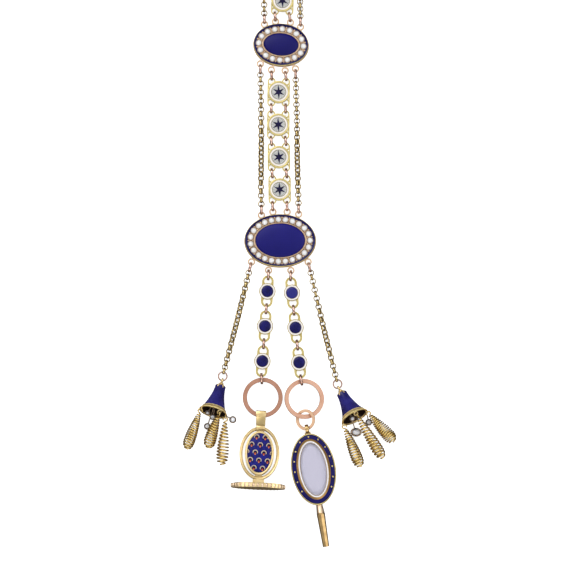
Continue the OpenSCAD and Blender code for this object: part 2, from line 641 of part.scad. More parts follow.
// Where a coil starts and its three directions: along the coil, across it, and out from the bell
function coil_frame(k, i) =
    let (row = coil_rows(k)[i], e = coil_eyelet(k, i), x = unit(row[2] - e),
         out = cos(row[0]) * bell_side(k) + sin(row[0]) * bell_up(k), z = unit(out - (out * x) * x))
    [e, x, cross(z, x), z];
module framed(f)
    multmatrix([for (r = [0:2]) [f[1][r], f[2][r], f[3][r], f[0][r]]]) children();
function helix_radius(f, size) = lookup(f, coil_shape) * size;
function coil_path(size, turns, length) =
    let (hook = [for (a = [hook_turn:-30:0]) [eyelet_to_loop + hook_loop * cos(a), 0, hook_loop * sin(a)]],
         steps = turns * turn_steps, helix_length = length - coil_lead)
    concat(hook,
           [[eyelet_to_loop + hook_loop + 0.35, 0, -0.1]],
           [for (j = [0:steps])
               let (f = j / steps, r = helix_radius(f, size), a = 360 * j / turn_steps)
               [coil_lead + helix_length * f, r * sin(a), -r * cos(a)]]);
// Carries a direction along a path with no twist, one value for each point
function path_tangents(p) =
    [for (i = [0:len(p) - 1]) unit(p[min(i + 1, len(p) - 1)] - p[max(i - 1, 0)])];
function carried(t, start) =
    [for (i = 0, u = start; i < len(t); i = i + 1, u = i < len(t) ? unit(u - (u * t[i]) * t[i]) : u)
        unit(u - (u * t[i]) * t[i])];
module swept(path, start, radius, sides) {
    t = path_tangents(path);
    u = carried(t, start);
    n = len(path);
    points = [for (i = [0:n - 1], j = [0:sides - 1])
        let (a = 360 * j / sides) path[i] + radius * (cos(a) * u[i] + sin(a) * cross(t[i], u[i]))];
    faces = concat(
        [for (i = [0:n - 2], j = [0:sides - 1])
            let (a = i * sides + j, b = i * sides + (j + 1) % sides, up = [a, a + sides, b + sides])
            for (face = [up, [a, b + sides, b]]) face],
        [[for (j = [0:sides - 1]) j]],
        [[for (j = [sides - 1:-1:0]) (n - 1) * sides + j]]);
    polyhedron(points, faces);
}
module coil(k, i) {
    f = coil_frame(k, i);
    local = coil_path(coil_sizes(k)[i][0], coil_sizes(k)[i][1], norm(coil_rows(k)[i][2] - f[0]));
    color("darkgoldenrod")
        swept([for (p = local) f[0] + p[0] * f[1] + p[1] * f[2] + p[2] * f[3]], f[2], coil_wire, wire_sides);
}

// Pearl drops: collets on wires from a plug inside the bell, and one beside the rim
function drops(k) = k == 0 ? left_drops : right_drops;
function side_drop(k) = k == 0 ? left_side_drop : right_side_drop;
module collet(at, radius, long)
    translate([at[0], at[1], at[2] - drop_base]) scale([long, 1, 1])
        cylinder(r1 = radius * 0.7, r2 = radius + drop_wall, h = drop_base - clear);
module tassel_collets(k)
    color("dimgray") {
        plug = bell_point(k, 1.3, 0, 0);
        rod(plug, bell_point(k, 2.6, 0, 0), 0.5);
        for (d = drops(k)) {
            foot = d[0] - [0, 0, 0.8 * drop_base];
            rod(bell_point(k, 2.5, 0, 0), foot, drop_wire);
            collet(d[0], d[1], d[2]);
        }
        s = side_drop(k);
        collet(s[0], s[1], 1);
        held = bell_point(k, s[2][0], s[2][1], s[2][2]);
        side = unit(plan(held) - plan(s[0]));
        rod(held, s[0] + 0.75 * [side[0], side[1], -0.85], drop_wire);
    }
module drop_pearl(at, radius, long)
    translate(at) scale([long, 1, 1]) rotate_extrude()
        intersection() {
            circle(r = radius);
            square(2 * radius);
        }
module tassel_pearls(k)
    color("ivory") {
        for (d = drops(k)) drop_pearl(d[0], d[1], d[2]);
        drop_pearl(side_drop(k)[0], side_drop(k)[1], 1);
    }

hook_plate();
plaque_mount([upper_half_length, upper_half_height], upper_pearl_oval, upper_centre_oval, upper_at, upper_turn,  // upper_plaque_mount
                 [for (i = [0:7]) upper_eye(i)]);
border_enamel([upper_half_length, upper_half_height], upper_pearl_oval, upper_at, upper_turn);  // upper_border_enamel
centre_enamel(upper_centre_oval, upper_at, upper_turn);  // upper_centre_enamel
half_pearls(upper_pearl_count, upper_pearl_oval, upper_at, upper_turn);  // upper_pearls
plaque_mount([lower_half_length, lower_half_height], lower_pearl_oval, lower_centre_oval, [0, 0], 0,  // lower_plaque_mount
                 [for (i = [0:7]) lower_eye(i)]);
border_enamel([lower_half_length, lower_half_height], lower_pearl_oval, [0, 0], 0);  // lower_border_enamel
centre_enamel(lower_centre_oval, [0, 0], 0);  // lower_centre_enamel
half_pearls(lower_pearl_count, lower_pearl_oval, [0, 0], 0);  // lower_pearls
for (i = [0:len(stars) - 1]) star_link(i);
star_white_enamels();
star_centres();
star_blue_inlays();
for (i = [0:2]) {
    circle_link(left_circles[i]);
    circle_link(right_circles[i]);
}
circle_white_enamels();
circle_blue_enamels();
upper_chain_left();
upper_chain_right();
long_chain_left();
long_chain_right();
top_jump_rings();
star_jump_rings();
chain_jump_rings();
strand_jump_rings();
split_ring(split_left_at, 0);  // split_ring_left
split_ring(split_right_at, split_right_tilt);  // split_ring_right
seal_body();
seal_enamel();
key_bow_ring();
key_body();
key_enamel();
key_glass();
for (k = [0, 1]) {
    side = k == 0 ? "left" : "right";
    tassel_chain(k);
    bell(k);
    bell_enamel(k);
    tassel_ring(k);
    tassel_collets(k);
    tassel_pearls(k);
    for (i = [0:2]) coil(k, i);
}
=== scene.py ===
"""A gold, blue enamel and half pearl chatelaine laid flat on a pale table."""

import math

import bpy
from mathutils import Matrix, Vector


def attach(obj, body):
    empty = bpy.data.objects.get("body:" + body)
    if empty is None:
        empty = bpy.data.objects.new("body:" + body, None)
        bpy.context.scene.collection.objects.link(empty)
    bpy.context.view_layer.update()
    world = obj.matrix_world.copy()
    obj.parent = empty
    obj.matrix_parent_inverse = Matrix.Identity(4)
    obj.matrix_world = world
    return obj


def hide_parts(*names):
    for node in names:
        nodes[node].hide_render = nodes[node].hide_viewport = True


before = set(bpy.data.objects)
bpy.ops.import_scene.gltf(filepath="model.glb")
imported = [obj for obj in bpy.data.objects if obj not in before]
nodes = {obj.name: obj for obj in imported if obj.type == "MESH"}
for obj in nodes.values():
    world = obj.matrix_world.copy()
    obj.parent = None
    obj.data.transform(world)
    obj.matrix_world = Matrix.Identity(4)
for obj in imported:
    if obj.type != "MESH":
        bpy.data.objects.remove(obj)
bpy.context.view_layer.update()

MM = 0.001
TAU = 2 * math.pi
TOUCHING = 1e-7
SIDES = ("left", "right")

# Places taken from the part, in millimetres and degrees
UPPER_AT = (0.27, 65.85)
UPPER_TURN = -4.5
BED = 2.0

# Half length and half width of each plaque and of its blue centre
UPPER_HALF = (9.25, 7.1)
LOWER_HALF = (11.9, 8.8)
UPPER_CENTRE = (5.82, 3.78)
LOWER_CENTRE = (8.27, 5.67)

# Count of half pearls, and the half length and half width of the oval that they sit on
UPPER_PEARLS = (16, 7.47, 5.23)
LOWER_PEARLS = (23, 9.93, 7.02)

# Star and circle links by row: x, y, turn
STARS = [(0.75, 80.75, -1.5), (-0.53, 49.9, -1), (-0.65, 38.92, -0.5), (-0.45, 28.03, 0.5),
         (-0.2, 17.14, 0.5)]
CIRCLES = [(-4.27, -16.95, -3.5), (-5.05, -28.6, -4), (-5.93, -40.25, -4.6),
           (3.93, -17.47, 5.5), (5.08, -29.07, 5.9), (6.33, -40.7, 6.3)]
TOP_STAR_SLOPE = 2.4
TOP_STAR_RAISED = 0.2
STAR_DISC = 2.48
STAR_UPRIGHT = 2.4
STAR_POINT = 2.15
STAR_NOTCH = 0.76
DISC_FLOOR = 1.75
EYE_Z = 1.5

# Rings, and how much fuller the wires are than the part's
SPLIT_RINGS = [(-5.8, -52.38), (8.0, -52.85)]
LINK_GROWTH = 0.045
RING_GROWTH = 0.04

# The seal, with each oval's half length less its half width called its shrink
SEAL_AT = (-6.35, -58.28, 1.6)
SEAL_TURN = -2.35
SEAL_SLOPE = 5.5
SEAL_FRAME_Y = -12.73
SEAL_FRAME_SHRINK = 2.24
SEAL_BEZEL_SHRINK = 2.56
SEAL_DOME = (4.02, 6.58)
SEAL_PLATE_Y = -23.76
SEAL_PLATE_SHRINK = 9.0 - 3.85
SEAL_LOBES = 38
FEATHER_TURN = -5.3
FEATHER_STEP = (2.87, 2.57)
FEATHER_START = (2.165, 8.585)

# The watch key
KEY_AT = (8.4, -59.75, 2.0)
KEY_TURN = 9.2
KEY_BODY_Y = -16.67
KEY_TOP = 3.0
LOCKET_SHRINK = 4.55
DOT_COUNT = 16
DOT_RING = (6.28, 10.83)

# The bells
BELL_TOPS = [(-19.8, -48.67, 1.68), (20.45, -51.03, 1.68)]
BELL_HEADINGS = [-105.5, -62.3]
BELL_SLOPE = 18
BELL_SKIRT = 8.2
BELL_NECK = 1.75
BELL_FLARE = 2.1
BELL_MOUTH = 4.8
BELL_LEAVES = 6
LIP_WAVES = 16

# Coils: angle round the bell, distance down it, tip of the coil
COILS = [[(160, 9.95, (-31.1, -69.4, 2)), (62, 10.25, (-24, -68.8, 1.7)), (0, 9.95, (-19.4, -74.7, 2.1))],
         [(180, 9.95, (26.6, -75.4, 2.1)), (80, 10.25, (34, -72.5, 1.7)), (5, 9.95, (37.8, -66.9, 2.3))]]

# Coils: greatest radius to the wire's middle, turns, radius of the wire
COIL_SIZES = [[(1.77, 16, 0.26), (1.82, 13, 0.3), (1.86, 13, 0.27)],
              [(1.82, 15, 0.28), (1.82, 15, 0.28), (2.04, 16, 0.26)]]

# Coils: share of the length, share of the greatest radius
COIL_SHAPE = [(0, 0.25), (0.1, 0.42), (0.3, 0.7), (0.55, 0.92), (0.78, 1), (0.88, 0.92), (0.95, 0.68),
              (1, 0.15)]
COIL_LEAD = 1.9
COIL_STEPS = 22
HOOK_RADIUS = 0.7
HOOK_AHEAD = 0.78
HOOK_WIRES = (0.23, 0.195, 0.23)
HOOK_POINTS = 24

# Loose pearls: middle, radius, stretch along X
DROPS = [[((-22.4, -58.9, 3), 0.8, 1), ((-24.2, -61.9, 1.4), 0.9, 1), ((-24.1, -57.5, 3.2), 0.6, 1),
          ((-15.7, -59.8, 3.2), 1, 1)],
         [((23.9, -59.5, 4), 0.75, 1), ((25.2, -63.9, 1.65), 1.2, 1.3), ((26.2, -59.4, 3.4), 0.65, 1),
          ((29.4, -60.6, 2), 0.9, 1)]]

# The camera: its target and sensor in millimetres, its distance and the width that it sees in metres
CAMERA_TARGET = (2.6, -15.7, 0)
CAMERA_ELEVATION = 85.0
CAMERA_DISTANCE = 1.3
VIEW_WIDTH = 0.192
SENSOR = 36.0


# Placing and shaping

def deselect():
    bpy.ops.object.select_all(action="DESELECT")


def pick(piece):
    deselect()
    piece.select_set(True)
    bpy.context.view_layer.objects.active = piece


def shifted(x, y, z=0.0):
    return Matrix.Translation(Vector((x, y, z)) * MM)


def raised(height):
    return Matrix.Translation((0, 0, height * MM))


def rotated(angle, axis):
    return Matrix.Rotation(math.radians(angle), 4, axis)


def placed(x, y, z=0.0, turn=0.0):
    return shifted(x, y, z) @ rotated(turn, "Z")


def settle(piece, place):
    """Moves a piece to its place and puts the place into its mesh."""
    pick(piece)
    piece.matrix_world = place
    bpy.ops.object.transform_apply(location=True, rotation=True, scale=True)


def above_table(piece):
    """Keeps the lowest points of a piece on the table."""
    for vertex in piece.data.vertices:
        vertex.co.z = max(vertex.co.z, 0)


def turned(name, profile, steps=64):
    """Spins a closed outline of (radius, height) points about Z, as on a lathe."""
    deselect()
    bpy.ops.mesh.primitive_circle_add(vertices=len(profile), radius=MM, fill_type="NOTHING")
    piece = bpy.context.object
    piece.name = name
    for vertex, (radius, height) in zip(piece.data.vertices, profile):
        vertex.co = (radius * MM, 0, height * MM)
    bpy.ops.object.mode_set(mode="EDIT")
    bpy.ops.mesh.select_all(action="SELECT")
    bpy.ops.mesh.spin(steps=steps, angle=TAU, center=(0, 0, 0), axis=(0, 0, 1), use_auto_merge=True)
    bpy.ops.mesh.select_all(action="SELECT")
    bpy.ops.mesh.remove_doubles(threshold=TOUCHING)
    bpy.ops.mesh.delete_loose(use_verts=True, use_edges=True, use_faces=False)
    bpy.ops.mesh.select_all(action="SELECT")
    bpy.ops.mesh.normals_make_consistent(inside=False)
    bpy.ops.object.mode_set(mode="OBJECT")
    return piece


def dome_outline(width, height, foot=0.0, steps=10, first=1, power=1.0):
    """Points up a quarter oval, from near its foot to just short of its top."""
    angles = [TAU * i / (4 * steps) for i in range(first, steps)]
    return [(width * math.cos(t), foot + height * math.sin(t) ** power) for t in angles]


def squeeze(piece, shrink, solid=0.0, axis=1):
    """Narrows a round piece along one axis, keeping a band's width all the way round.

    Inside the solid radius everything narrows by the same share instead.
    """
    shrink *= MM
    solid *= MM
    for vertex in piece.data.vertices:
        radius = math.hypot(vertex.co.x, vertex.co.y)
        if radius > TOUCHING:
            reach = max(radius, solid)
            vertex.co[axis] *= (reach - shrink) / reach


def stretched(piece, axis, share):
    for vertex in piece.data.vertices:
        vertex.co[axis] *= share


def joined(name, pieces):
    deselect()
    for piece in pieces:
        piece.select_set(True)
    bpy.context.view_layer.objects.active = pieces[0]
    bpy.ops.object.join()
    piece = bpy.context.object
    piece.name = name
    return piece


def repeated(name, model, places):
    """Copies a model to each place, each copy with its own mesh, and joins them into one piece."""
    copies = []
    for place in places:
        pick(model)
        bpy.ops.object.duplicate(linked=False)
        copy = bpy.context.object
        copy.matrix_world = place
        copies.append(copy)
    bpy.data.objects.remove(model)
    piece = joined(name, copies)
    bpy.ops.object.transform_apply(location=True, rotation=True, scale=True)
    return piece


def bar(name, size, bevel):
    """A block of millimetre size with its edges rounded."""
    deselect()
    bpy.ops.mesh.primitive_cube_add(size=MM)
    piece = bpy.context.object
    piece.name = name
    bpy.ops.object.mode_set(mode="EDIT")
    bpy.ops.mesh.select_all(action="SELECT")
    bpy.ops.transform.resize(value=size)
    bpy.ops.mesh.bevel(offset=bevel * MM, segments=3, affect="EDGES")
    bpy.ops.object.mode_set(mode="OBJECT")
    return piece


def thicken(piece, height, inset=0.0, crown=0.0):
    """Raises a flat plate to a height, with a smaller crown on top where it has one."""
    pick(piece)
    bpy.ops.object.mode_set(mode="EDIT")
    bpy.ops.mesh.select_all(action="SELECT")
    bpy.ops.mesh.extrude_region_move(TRANSFORM_OT_translate={"value": (0, 0, height * MM)})
    if inset:
        bpy.ops.mesh.inset(thickness=inset * MM)
        bpy.ops.transform.translate(value=(0, 0, crown * MM))
    bpy.ops.mesh.select_all(action="SELECT")
    bpy.ops.mesh.normals_make_consistent(inside=False)
    bpy.ops.object.mode_set(mode="OBJECT")
    return piece


def finish(piece, material, replaces=(), angle=35):
    """Shades a piece, gives it its material and hangs it on the frame."""
    pick(piece)
    bpy.ops.object.shade_smooth_by_angle(angle=math.radians(angle))
    piece.data.materials.clear()
    piece.data.materials.append(material)
    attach(piece, "root")
    if replaces:
        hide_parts(*replaces)


def turned_set(name, outline, steps, places, material, replaces=(), angle=35):
    """One turned model copied to many places as a single finished piece."""
    model = turned("model", outline, steps)
    finish(repeated(name, model, places), material, replaces, angle)


def oval_band(name, outline, shrink, place, material, replaces=(), angle=60, axis=1):
    """A turned band narrowed to an oval, set in its place and finished."""
    band = turned(name, outline, 96)
    squeeze(band, shrink, axis=axis)
    settle(band, place)
    finish(band, material, replaces, angle)


# Materials

def new_group(name, inputs, outputs):
    group = bpy.data.node_groups.new(name, "ShaderNodeTree")
    for label, kind, value in inputs:
        socket = group.interface.new_socket(name=label, in_out="INPUT", socket_type=kind)
        socket.default_value = value
    for label, kind in outputs:
        group.interface.new_socket(name=label, in_out="OUTPUT", socket_type=kind)
    return group, group.nodes.new("NodeGroupInput"), group.nodes.new("NodeGroupOutput")


def add(tree, kind, **values):
    node = tree.nodes.new(kind)
    for key, value in values.items():
        setattr(node, key, value)
    return node


def feed(tree, socket, value):
    """Links a socket to another node's output, or sets it to a fixed value."""
    if hasattr(value, "links"):
        tree.links.new(value, socket)
    else:
        socket.default_value = value


def noise(tree, vector, scale, detail=3.0):
    node = add(tree, "ShaderNodeTexNoise")
    feed(tree, node.inputs["Scale"], scale)
    node.inputs["Detail"].default_value = detail
    tree.links.new(vector, node.inputs["Vector"])
    return node.outputs["Fac"]


def blend(tree, fac, first, second):
    """Mixes two colours, each a plain (r, g, b) or another node's output."""
    node = add(tree, "ShaderNodeMix", data_type="RGBA")
    feed(tree, node.inputs[0], fac)
    for index, colour in ((6, first), (7, second)):
        feed(tree, node.inputs[index], colour if hasattr(colour, "links") else (*colour, 1))
    return node.outputs[2]


def spread(tree, value, low, high, start=0.0, end=1.0):
    node = add(tree, "ShaderNodeMapRange")
    tree.links.new(value, node.inputs["Value"])
    for label, number in (("From Min", low), ("From Max", high), ("To Min", start), ("To Max", end)):
        node.inputs[label].default_value = number
    return node.outputs["Result"]


def sums(tree, operation, *values):
    node = add(tree, "ShaderNodeMath", operation=operation)
    for socket, value in zip(node.inputs, values):
        feed(tree, socket, value)
    return node.outputs[0]


def times(tree, first, second):
    return sums(tree, "MULTIPLY", first, second)


def less(tree, first, second):
    return sums(tree, "SUBTRACT", first, second)


def squares(tree, x, y):
    return sums(tree, "ADD", times(tree, x, x), times(tree, y, y))


def polar(tree, x, y):
    """A point's distance and angle from the middle of its pattern."""
    return sums(tree, "SQRT", squares(tree, x, y)), sums(tree, "ARCTAN2", y, x)


def along(tree, vector):
    """The X, Y and Z of a vector."""
    split = add(tree, "ShaderNodeSeparateXYZ")
    tree.links.new(vector, split.inputs["Vector"])
    return split.outputs["X"], split.outputs["Y"], split.outputs["Z"]


def centred(tree, place, at, turn=0.0):
    """Measures a pattern from a place on the part and turns it by an angle."""
    node = add(tree, "ShaderNodeMapping", vector_type="TEXTURE")
    node.inputs["Location"].default_value = [v * MM for v in (*at, 0)[:3]]
    node.inputs["Rotation"].default_value = (0, 0, math.radians(turn))
    tree.links.new(place, node.inputs["Vector"])
    return node.outputs["Vector"]


def build_tarnish():
    """Age on metal, spread at random: a soft mottle and fine scratches. The dark in its hollow places is
    painted shade, laid on outside this group.
    """
    group, inside, outside = new_group(
        "tarnish",
        [("Vector", "NodeSocketVector", (0, 0, 0)), ("Bright", "NodeSocketColor", (1, 1, 1, 1)),
         ("Dull", "NodeSocketColor", (0.5, 0.5, 0.5, 1)), ("Scale", "NodeSocketFloat", 900.0),
         ("Amount", "NodeSocketFloat", 0.5)],
        [("Color", "NodeSocketColor"), ("Rough", "NodeSocketFloat"), ("Height", "NodeSocketFloat")])
    vector, bright, dull, scale, amount = list(inside.outputs)[:5]
    mottle = spread(group, noise(group, vector, scale, 4.0), 0.4, 0.7)
    fine = noise(group, vector, 6000.0, 2.0)
    group.links.new(blend(group, times(group, mottle, amount), bright, dull), outside.inputs["Color"])
    group.links.new(spread(group, fine, 0.3, 0.7), outside.inputs["Rough"])
    group.links.new(fine, outside.inputs["Height"])
    return group


TARNISH = build_tarnish()


def base_material(name):
    material = bpy.data.materials.new(name)
    material.use_nodes = True
    tree = material.node_tree
    shader = tree.nodes["Principled BSDF"]
    place = add(tree, "ShaderNodeTexCoord").outputs["Object"]
    return material, tree, shader, place


def bumped(tree, shader, height, strength, depth):
    """Raises the surface's light and shade by a height map, to a depth in millimetres."""
    node = add(tree, "ShaderNodeBump")
    node.inputs["Strength"].default_value = strength
    node.inputs["Distance"].default_value = depth * MM
    tree.links.new(height, node.inputs["Height"])
    tree.links.new(node.outputs["Normal"], shader.inputs["Normal"])


def hollow_shade(tree, colour, dark, reach, low=0.3, high=0.8):
    """Painted shade: darkens a colour where another surface lies within reach, in millimetres."""
    shade = add(tree, "ShaderNodeAmbientOcclusion", samples=12)
    shade.inputs["Distance"].default_value = reach * MM
    return blend(tree, spread(tree, shade.outputs["AO"], low, high), dark, colour)


def metal(name, bright, dull, dark, rough, scale=900.0, amount=0.6, ripple=0.06, reach=0.8, metallic=1.0):
    """Worn metal: dull patches on a bright ground, with painted shade darkening it where other surfaces stand
    near.
    """
    material, tree, shader, place = base_material(name)
    age = add(tree, "ShaderNodeGroup")
    age.node_tree = TARNISH
    tree.links.new(place, age.inputs["Vector"])
    age.inputs["Bright"].default_value = (*bright, 1)
    age.inputs["Dull"].default_value = (*dull, 1)
    age.inputs["Scale"].default_value = scale
    age.inputs["Amount"].default_value = amount
    # The third colour goes in as painted shade where other surfaces lie within reach
    tree.links.new(hollow_shade(tree, age.outputs["Color"], dark, reach), shader.inputs["Base Color"])
    tree.links.new(spread(tree, age.outputs["Rough"], 0, 1, *rough), shader.inputs["Roughness"])
    shader.inputs["Metallic"].default_value = metallic
    bumped(tree, shader, age.outputs["Height"], ripple, 0.03)
    return material


def enamel(name, light, deep, scale, rough, coat):
    """Glossy enamel with faint clouds in its colour."""
    material, tree, shader, place = base_material(name)
    cloud = spread(tree, noise(tree, place, scale), 0.35, 0.65)
    fine = noise(tree, place, 2600.0, 2.0)
    mask = sums(tree, "MULTIPLY_ADD", fine, 0.4, times(tree, cloud, 0.7))
    tree.links.new(blend(tree, mask, deep, light), shader.inputs["Base Color"])
    tree.links.new(spread(tree, fine, 0.3, 0.7, rough * 0.8, rough * 1.3), shader.inputs["Roughness"])
    shader.inputs["Specular IOR Level"].default_value = 0.18
    shader.inputs["Coat Weight"].default_value = coat
    shader.inputs["Coat Roughness"].default_value = 0.12
    bumped(tree, shader, fine, 0.1, 0.02)
    return material


def paler_at(material, at, reach, colour):
    """Gives one round of a shared enamel its own paler colour."""
    tree = material.node_tree
    shader = tree.nodes["Principled BSDF"]
    far = add(tree, "ShaderNodeVectorMath", operation="DISTANCE")
    tree.links.new(add(tree, "ShaderNodeTexCoord").outputs["Object"], far.inputs[0])
    far.inputs[1].default_value = (at[0] * MM, at[1] * MM, BED * MM)
    mask = spread(tree, far.outputs["Value"], 0.9 * reach * MM, reach * MM, 1.0, 0.0)
    shared = shader.inputs["Base Color"].links[0].from_socket
    tree.links.new(blend(tree, mask, shared, colour), shader.inputs["Base Color"])


def engine_turned(name, light, deep, at, turn):
    """Royal blue enamel over a cut pattern of fine crossing waves, with painted shade: darker towards the
    bottom, lighter towards the top.
    """
    material, tree, shader, place = base_material(name)
    vector = centred(tree, place, at, turn)
    waves = []
    for direction in ("X", "Y"):
        wave = add(tree, "ShaderNodeTexWave", bands_direction=direction)
        wave.inputs["Scale"].default_value = 420.0
        wave.inputs["Distortion"].default_value = 2.5
        wave.inputs["Detail Scale"].default_value = 1.5
        tree.links.new(vector, wave.inputs["Vector"])
        waves.append(wave.outputs["Fac"])
    cut = times(tree, waves[0], waves[1])
    cloud = noise(tree, place, 300.0)
    # Painted shade: the enamel grows lighter towards the top and darker towards the bottom
    painted_top_light = spread(tree, along(tree, vector)[1], -0.006, 0.006, 0.0, 0.55)
    mask = sums(tree, "MULTIPLY_ADD", cut, 0.25, sums(tree, "MULTIPLY_ADD", cloud, 0.35, painted_top_light))
    tree.links.new(blend(tree, mask, deep, light), shader.inputs["Base Color"])
    shader.inputs["Roughness"].default_value = 0.4
    shader.inputs["Specular IOR Level"].default_value = 0.18
    bumped(tree, shader, cut, 0.25, 0.03)
    return material


def pearl(name, deep, light, reach):
    """Cloudy lustre, with painted brown shade where a pearl meets its setting."""
    material, tree, shader, place = base_material(name)
    cloud = spread(tree, noise(tree, place, 700.0, 2.0), 0.3, 0.7)
    lustre = blend(tree, cloud, deep, light)
    # Painted shade: browner where the cup stands near the pearl
    tree.links.new(hollow_shade(tree, lustre, (0.42, 0.3, 0.2), reach, 0.3, 0.75), shader.inputs["Base Color"])
    tree.links.new(spread(tree, cloud, 0, 1, 0.3, 0.2), shader.inputs["Roughness"])
    shader.inputs["Coat Weight"].default_value = 0.5
    shader.inputs["Coat Roughness"].default_value = 0.1
    shader.inputs["Subsurface Weight"].default_value = 0.15
    shader.inputs["Subsurface Radius"].default_value = (0.0006, 0.0005, 0.0004)
    bumped(tree, shader, cloud, 0.1, 0.03)
    return material


def brushed_ring(name, bright, dull, at):
    """Rose gold with fine lines that run round a ring."""
    material, tree, shader, place = base_material(name)
    x, y, _ = along(tree, centred(tree, place, at))
    radius, angle = polar(tree, x, y)
    join = add(tree, "ShaderNodeCombineXYZ")
    tree.links.new(times(tree, radius, 9000.0), join.inputs["X"])
    tree.links.new(times(tree, angle, 1.2), join.inputs["Y"])
    lines = noise(tree, join.outputs["Vector"], 1.0)
    cloud = spread(tree, noise(tree, place, 160.0), 0.35, 0.65)
    mask = sums(tree, "MULTIPLY_ADD", lines, 0.55, times(tree, cloud, 0.5))
    tree.links.new(blend(tree, mask, bright, dull), shader.inputs["Base Color"])
    tree.links.new(spread(tree, lines, 0.3, 0.7, 0.3, 0.46), shader.inputs["Roughness"])
    shader.inputs["Metallic"].default_value = 1.0
    bumped(tree, shader, lines, 0.25, 0.04)
    return material


def feather_enamel(name):
    """Blue enamel painted with rows of small eyes: a pale arch, a dark middle and a red drop."""
    material, tree, shader, place = base_material(name)
    x, y, _ = along(tree, centred(tree, place, SEAL_AT, FEATHER_TURN))
    wide, tall = FEATHER_STEP
    left, below = FEATHER_START
    row_place = sums(tree, "DIVIDE", sums(tree, "ADD", times(tree, y, 1 / MM), below), tall)
    row = sums(tree, "FLOOR", row_place)
    v = times(tree, less(tree, less(tree, row_place, row), 0.5), tall)
    shift = times(tree, sums(tree, "FLOORED_MODULO", row, 2.0), 0.5)
    column_place = sums(tree, "DIVIDE", sums(tree, "ADD", times(tree, x, 1 / MM), left), wide)
    column = sums(tree, "ADD", column_place, shift)
    u = times(tree, less(tree, sums(tree, "FRACT", column), 0.5), wide)

    def within(centre_v, half_u, half_v, edge=0.12):
        across = sums(tree, "DIVIDE", u, half_u)
        up = sums(tree, "DIVIDE", less(tree, v, centre_v), half_v)
        return spread(tree, squares(tree, across, up), 1 - edge, 1 + edge, 1.0, 0.0)

    cloud = spread(tree, noise(tree, place, 1400.0), 0.3, 0.7)
    ground = blend(tree, cloud, (0.004, 0.004, 0.055), (0.016, 0.018, 0.27))
    arch = less(tree, within(0, 0.88, 0.84), within(-0.09, 0.62, 0.62))
    arch = times(tree, sums(tree, "MAXIMUM", arch, 0.0), spread(tree, v, -0.55, -0.25))
    speck = spread(tree, noise(tree, place, 3500.0, 1.0), 0.4, 0.6, 0.65, 1.0)
    colour = blend(tree, within(-0.1, 0.6, 0.6), ground, (0.003, 0.002, 0.035))
    colour = blend(tree, times(tree, arch, speck), colour, (0.7, 0.56, 0.36))
    colour = blend(tree, within(-0.5, 0.32, 0.42), colour, (0.42, 0.05, 0.03))
    colour = blend(tree, within(-0.72, 0.17, 0.17), colour, (0.75, 0.3, 0.1))
    tree.links.new(colour, shader.inputs["Base Color"])
    shader.inputs["Roughness"].default_value = 0.4
    shader.inputs["Specular IOR Level"].default_value = 0.15
    bumped(tree, shader, cloud, 0.08, 0.02)
    return material


def engraved_disc(name):
    """Pale silvered disc cut with rays, read from the disc's own map."""
    material, tree, shader, _ = base_material(name)
    x, y, _ = along(tree, add(tree, "ShaderNodeTexCoord").outputs["UV"])
    radius, angle = polar(tree, less(tree, x, 0.5), less(tree, y, 0.5))
    rays, rings = [sums(tree, "ABSOLUTE", sums(tree, "SINE", times(tree, value, count)))
                   for value, count in ((angle, 12.0), (radius, 75.0))]
    cut = times(tree, rays, rings)
    shade = blend(tree, cut, (0.22, 0.22, 0.2), (0.9, 0.9, 0.88))
    rim = spread(tree, radius, 0.455, 0.47)
    tree.links.new(blend(tree, rim, shade, (0.26, 0.23, 0.13)), shader.inputs["Base Color"])
    tree.links.new(spread(tree, cut, 0, 1, 0.5, 0.3), shader.inputs["Roughness"])
    shader.inputs["Metallic"].default_value = 0.35
    bumped(tree, shader, cut, 0.4, 0.05)
    return material


def clear_glass(name):
    """The locket's pane, thin enough for its lining to show."""
    material, tree, shader, place = base_material(name)
    tint = blend(tree, noise(tree, place, 120.0, 2.0), (0.98, 0.98, 1.0), (1.0, 1.0, 1.0))
    tree.links.new(tint, shader.inputs["Base Color"])
    tree.links.new(spread(tree, noise(tree, place, 900.0, 2.0), 0, 1, 0.01, 0.05), shader.inputs["Roughness"])
    shader.inputs["Transmission Weight"].default_value = 1.0
    shader.inputs["IOR"].default_value = 1.5
    shader.inputs["Alpha"].default_value = 0.12
    return material


def ground_glass(name):
    """The milky ground bevel round the locket's glass."""
    material, tree, shader, place = base_material(name)
    cloud = spread(tree, noise(tree, place, 1500.0, 2.0), 0.3, 0.7)
    tree.links.new(blend(tree, cloud, (0.86, 0.86, 0.93), (0.97, 0.97, 1.0)), shader.inputs["Base Color"])
    tree.links.new(spread(tree, cloud, 0, 1, 0.2, 0.35), shader.inputs["Roughness"])
    bumped(tree, shader, cloud, 0.1, 0.02)
    return material


def silk(name):
    """Pale lining behind the locket's glass, with painted shade darkening its edges under the recess walls.
    """
    material, tree, shader, place = base_material(name)
    weave = noise(tree, place, 5000.0, 2.0)
    cloud = spread(tree, noise(tree, place, 180.0), 0.3, 0.7)
    mask = sums(tree, "MULTIPLY_ADD", weave, 0.3, times(tree, cloud, 0.6))
    pale = blend(tree, mask, (0.93, 0.91, 1.0), (0.99, 0.97, 1.0))
    # Painted shade: greyer lavender near the walls of the recess
    tree.links.new(hollow_shade(tree, pale, (0.6, 0.58, 0.7), 1.2), shader.inputs["Base Color"])
    tree.links.new(spread(tree, weave, 0.3, 0.7, 0.55, 0.75), shader.inputs["Roughness"])
    bumped(tree, shader, weave, 0.1, 0.02)
    return material
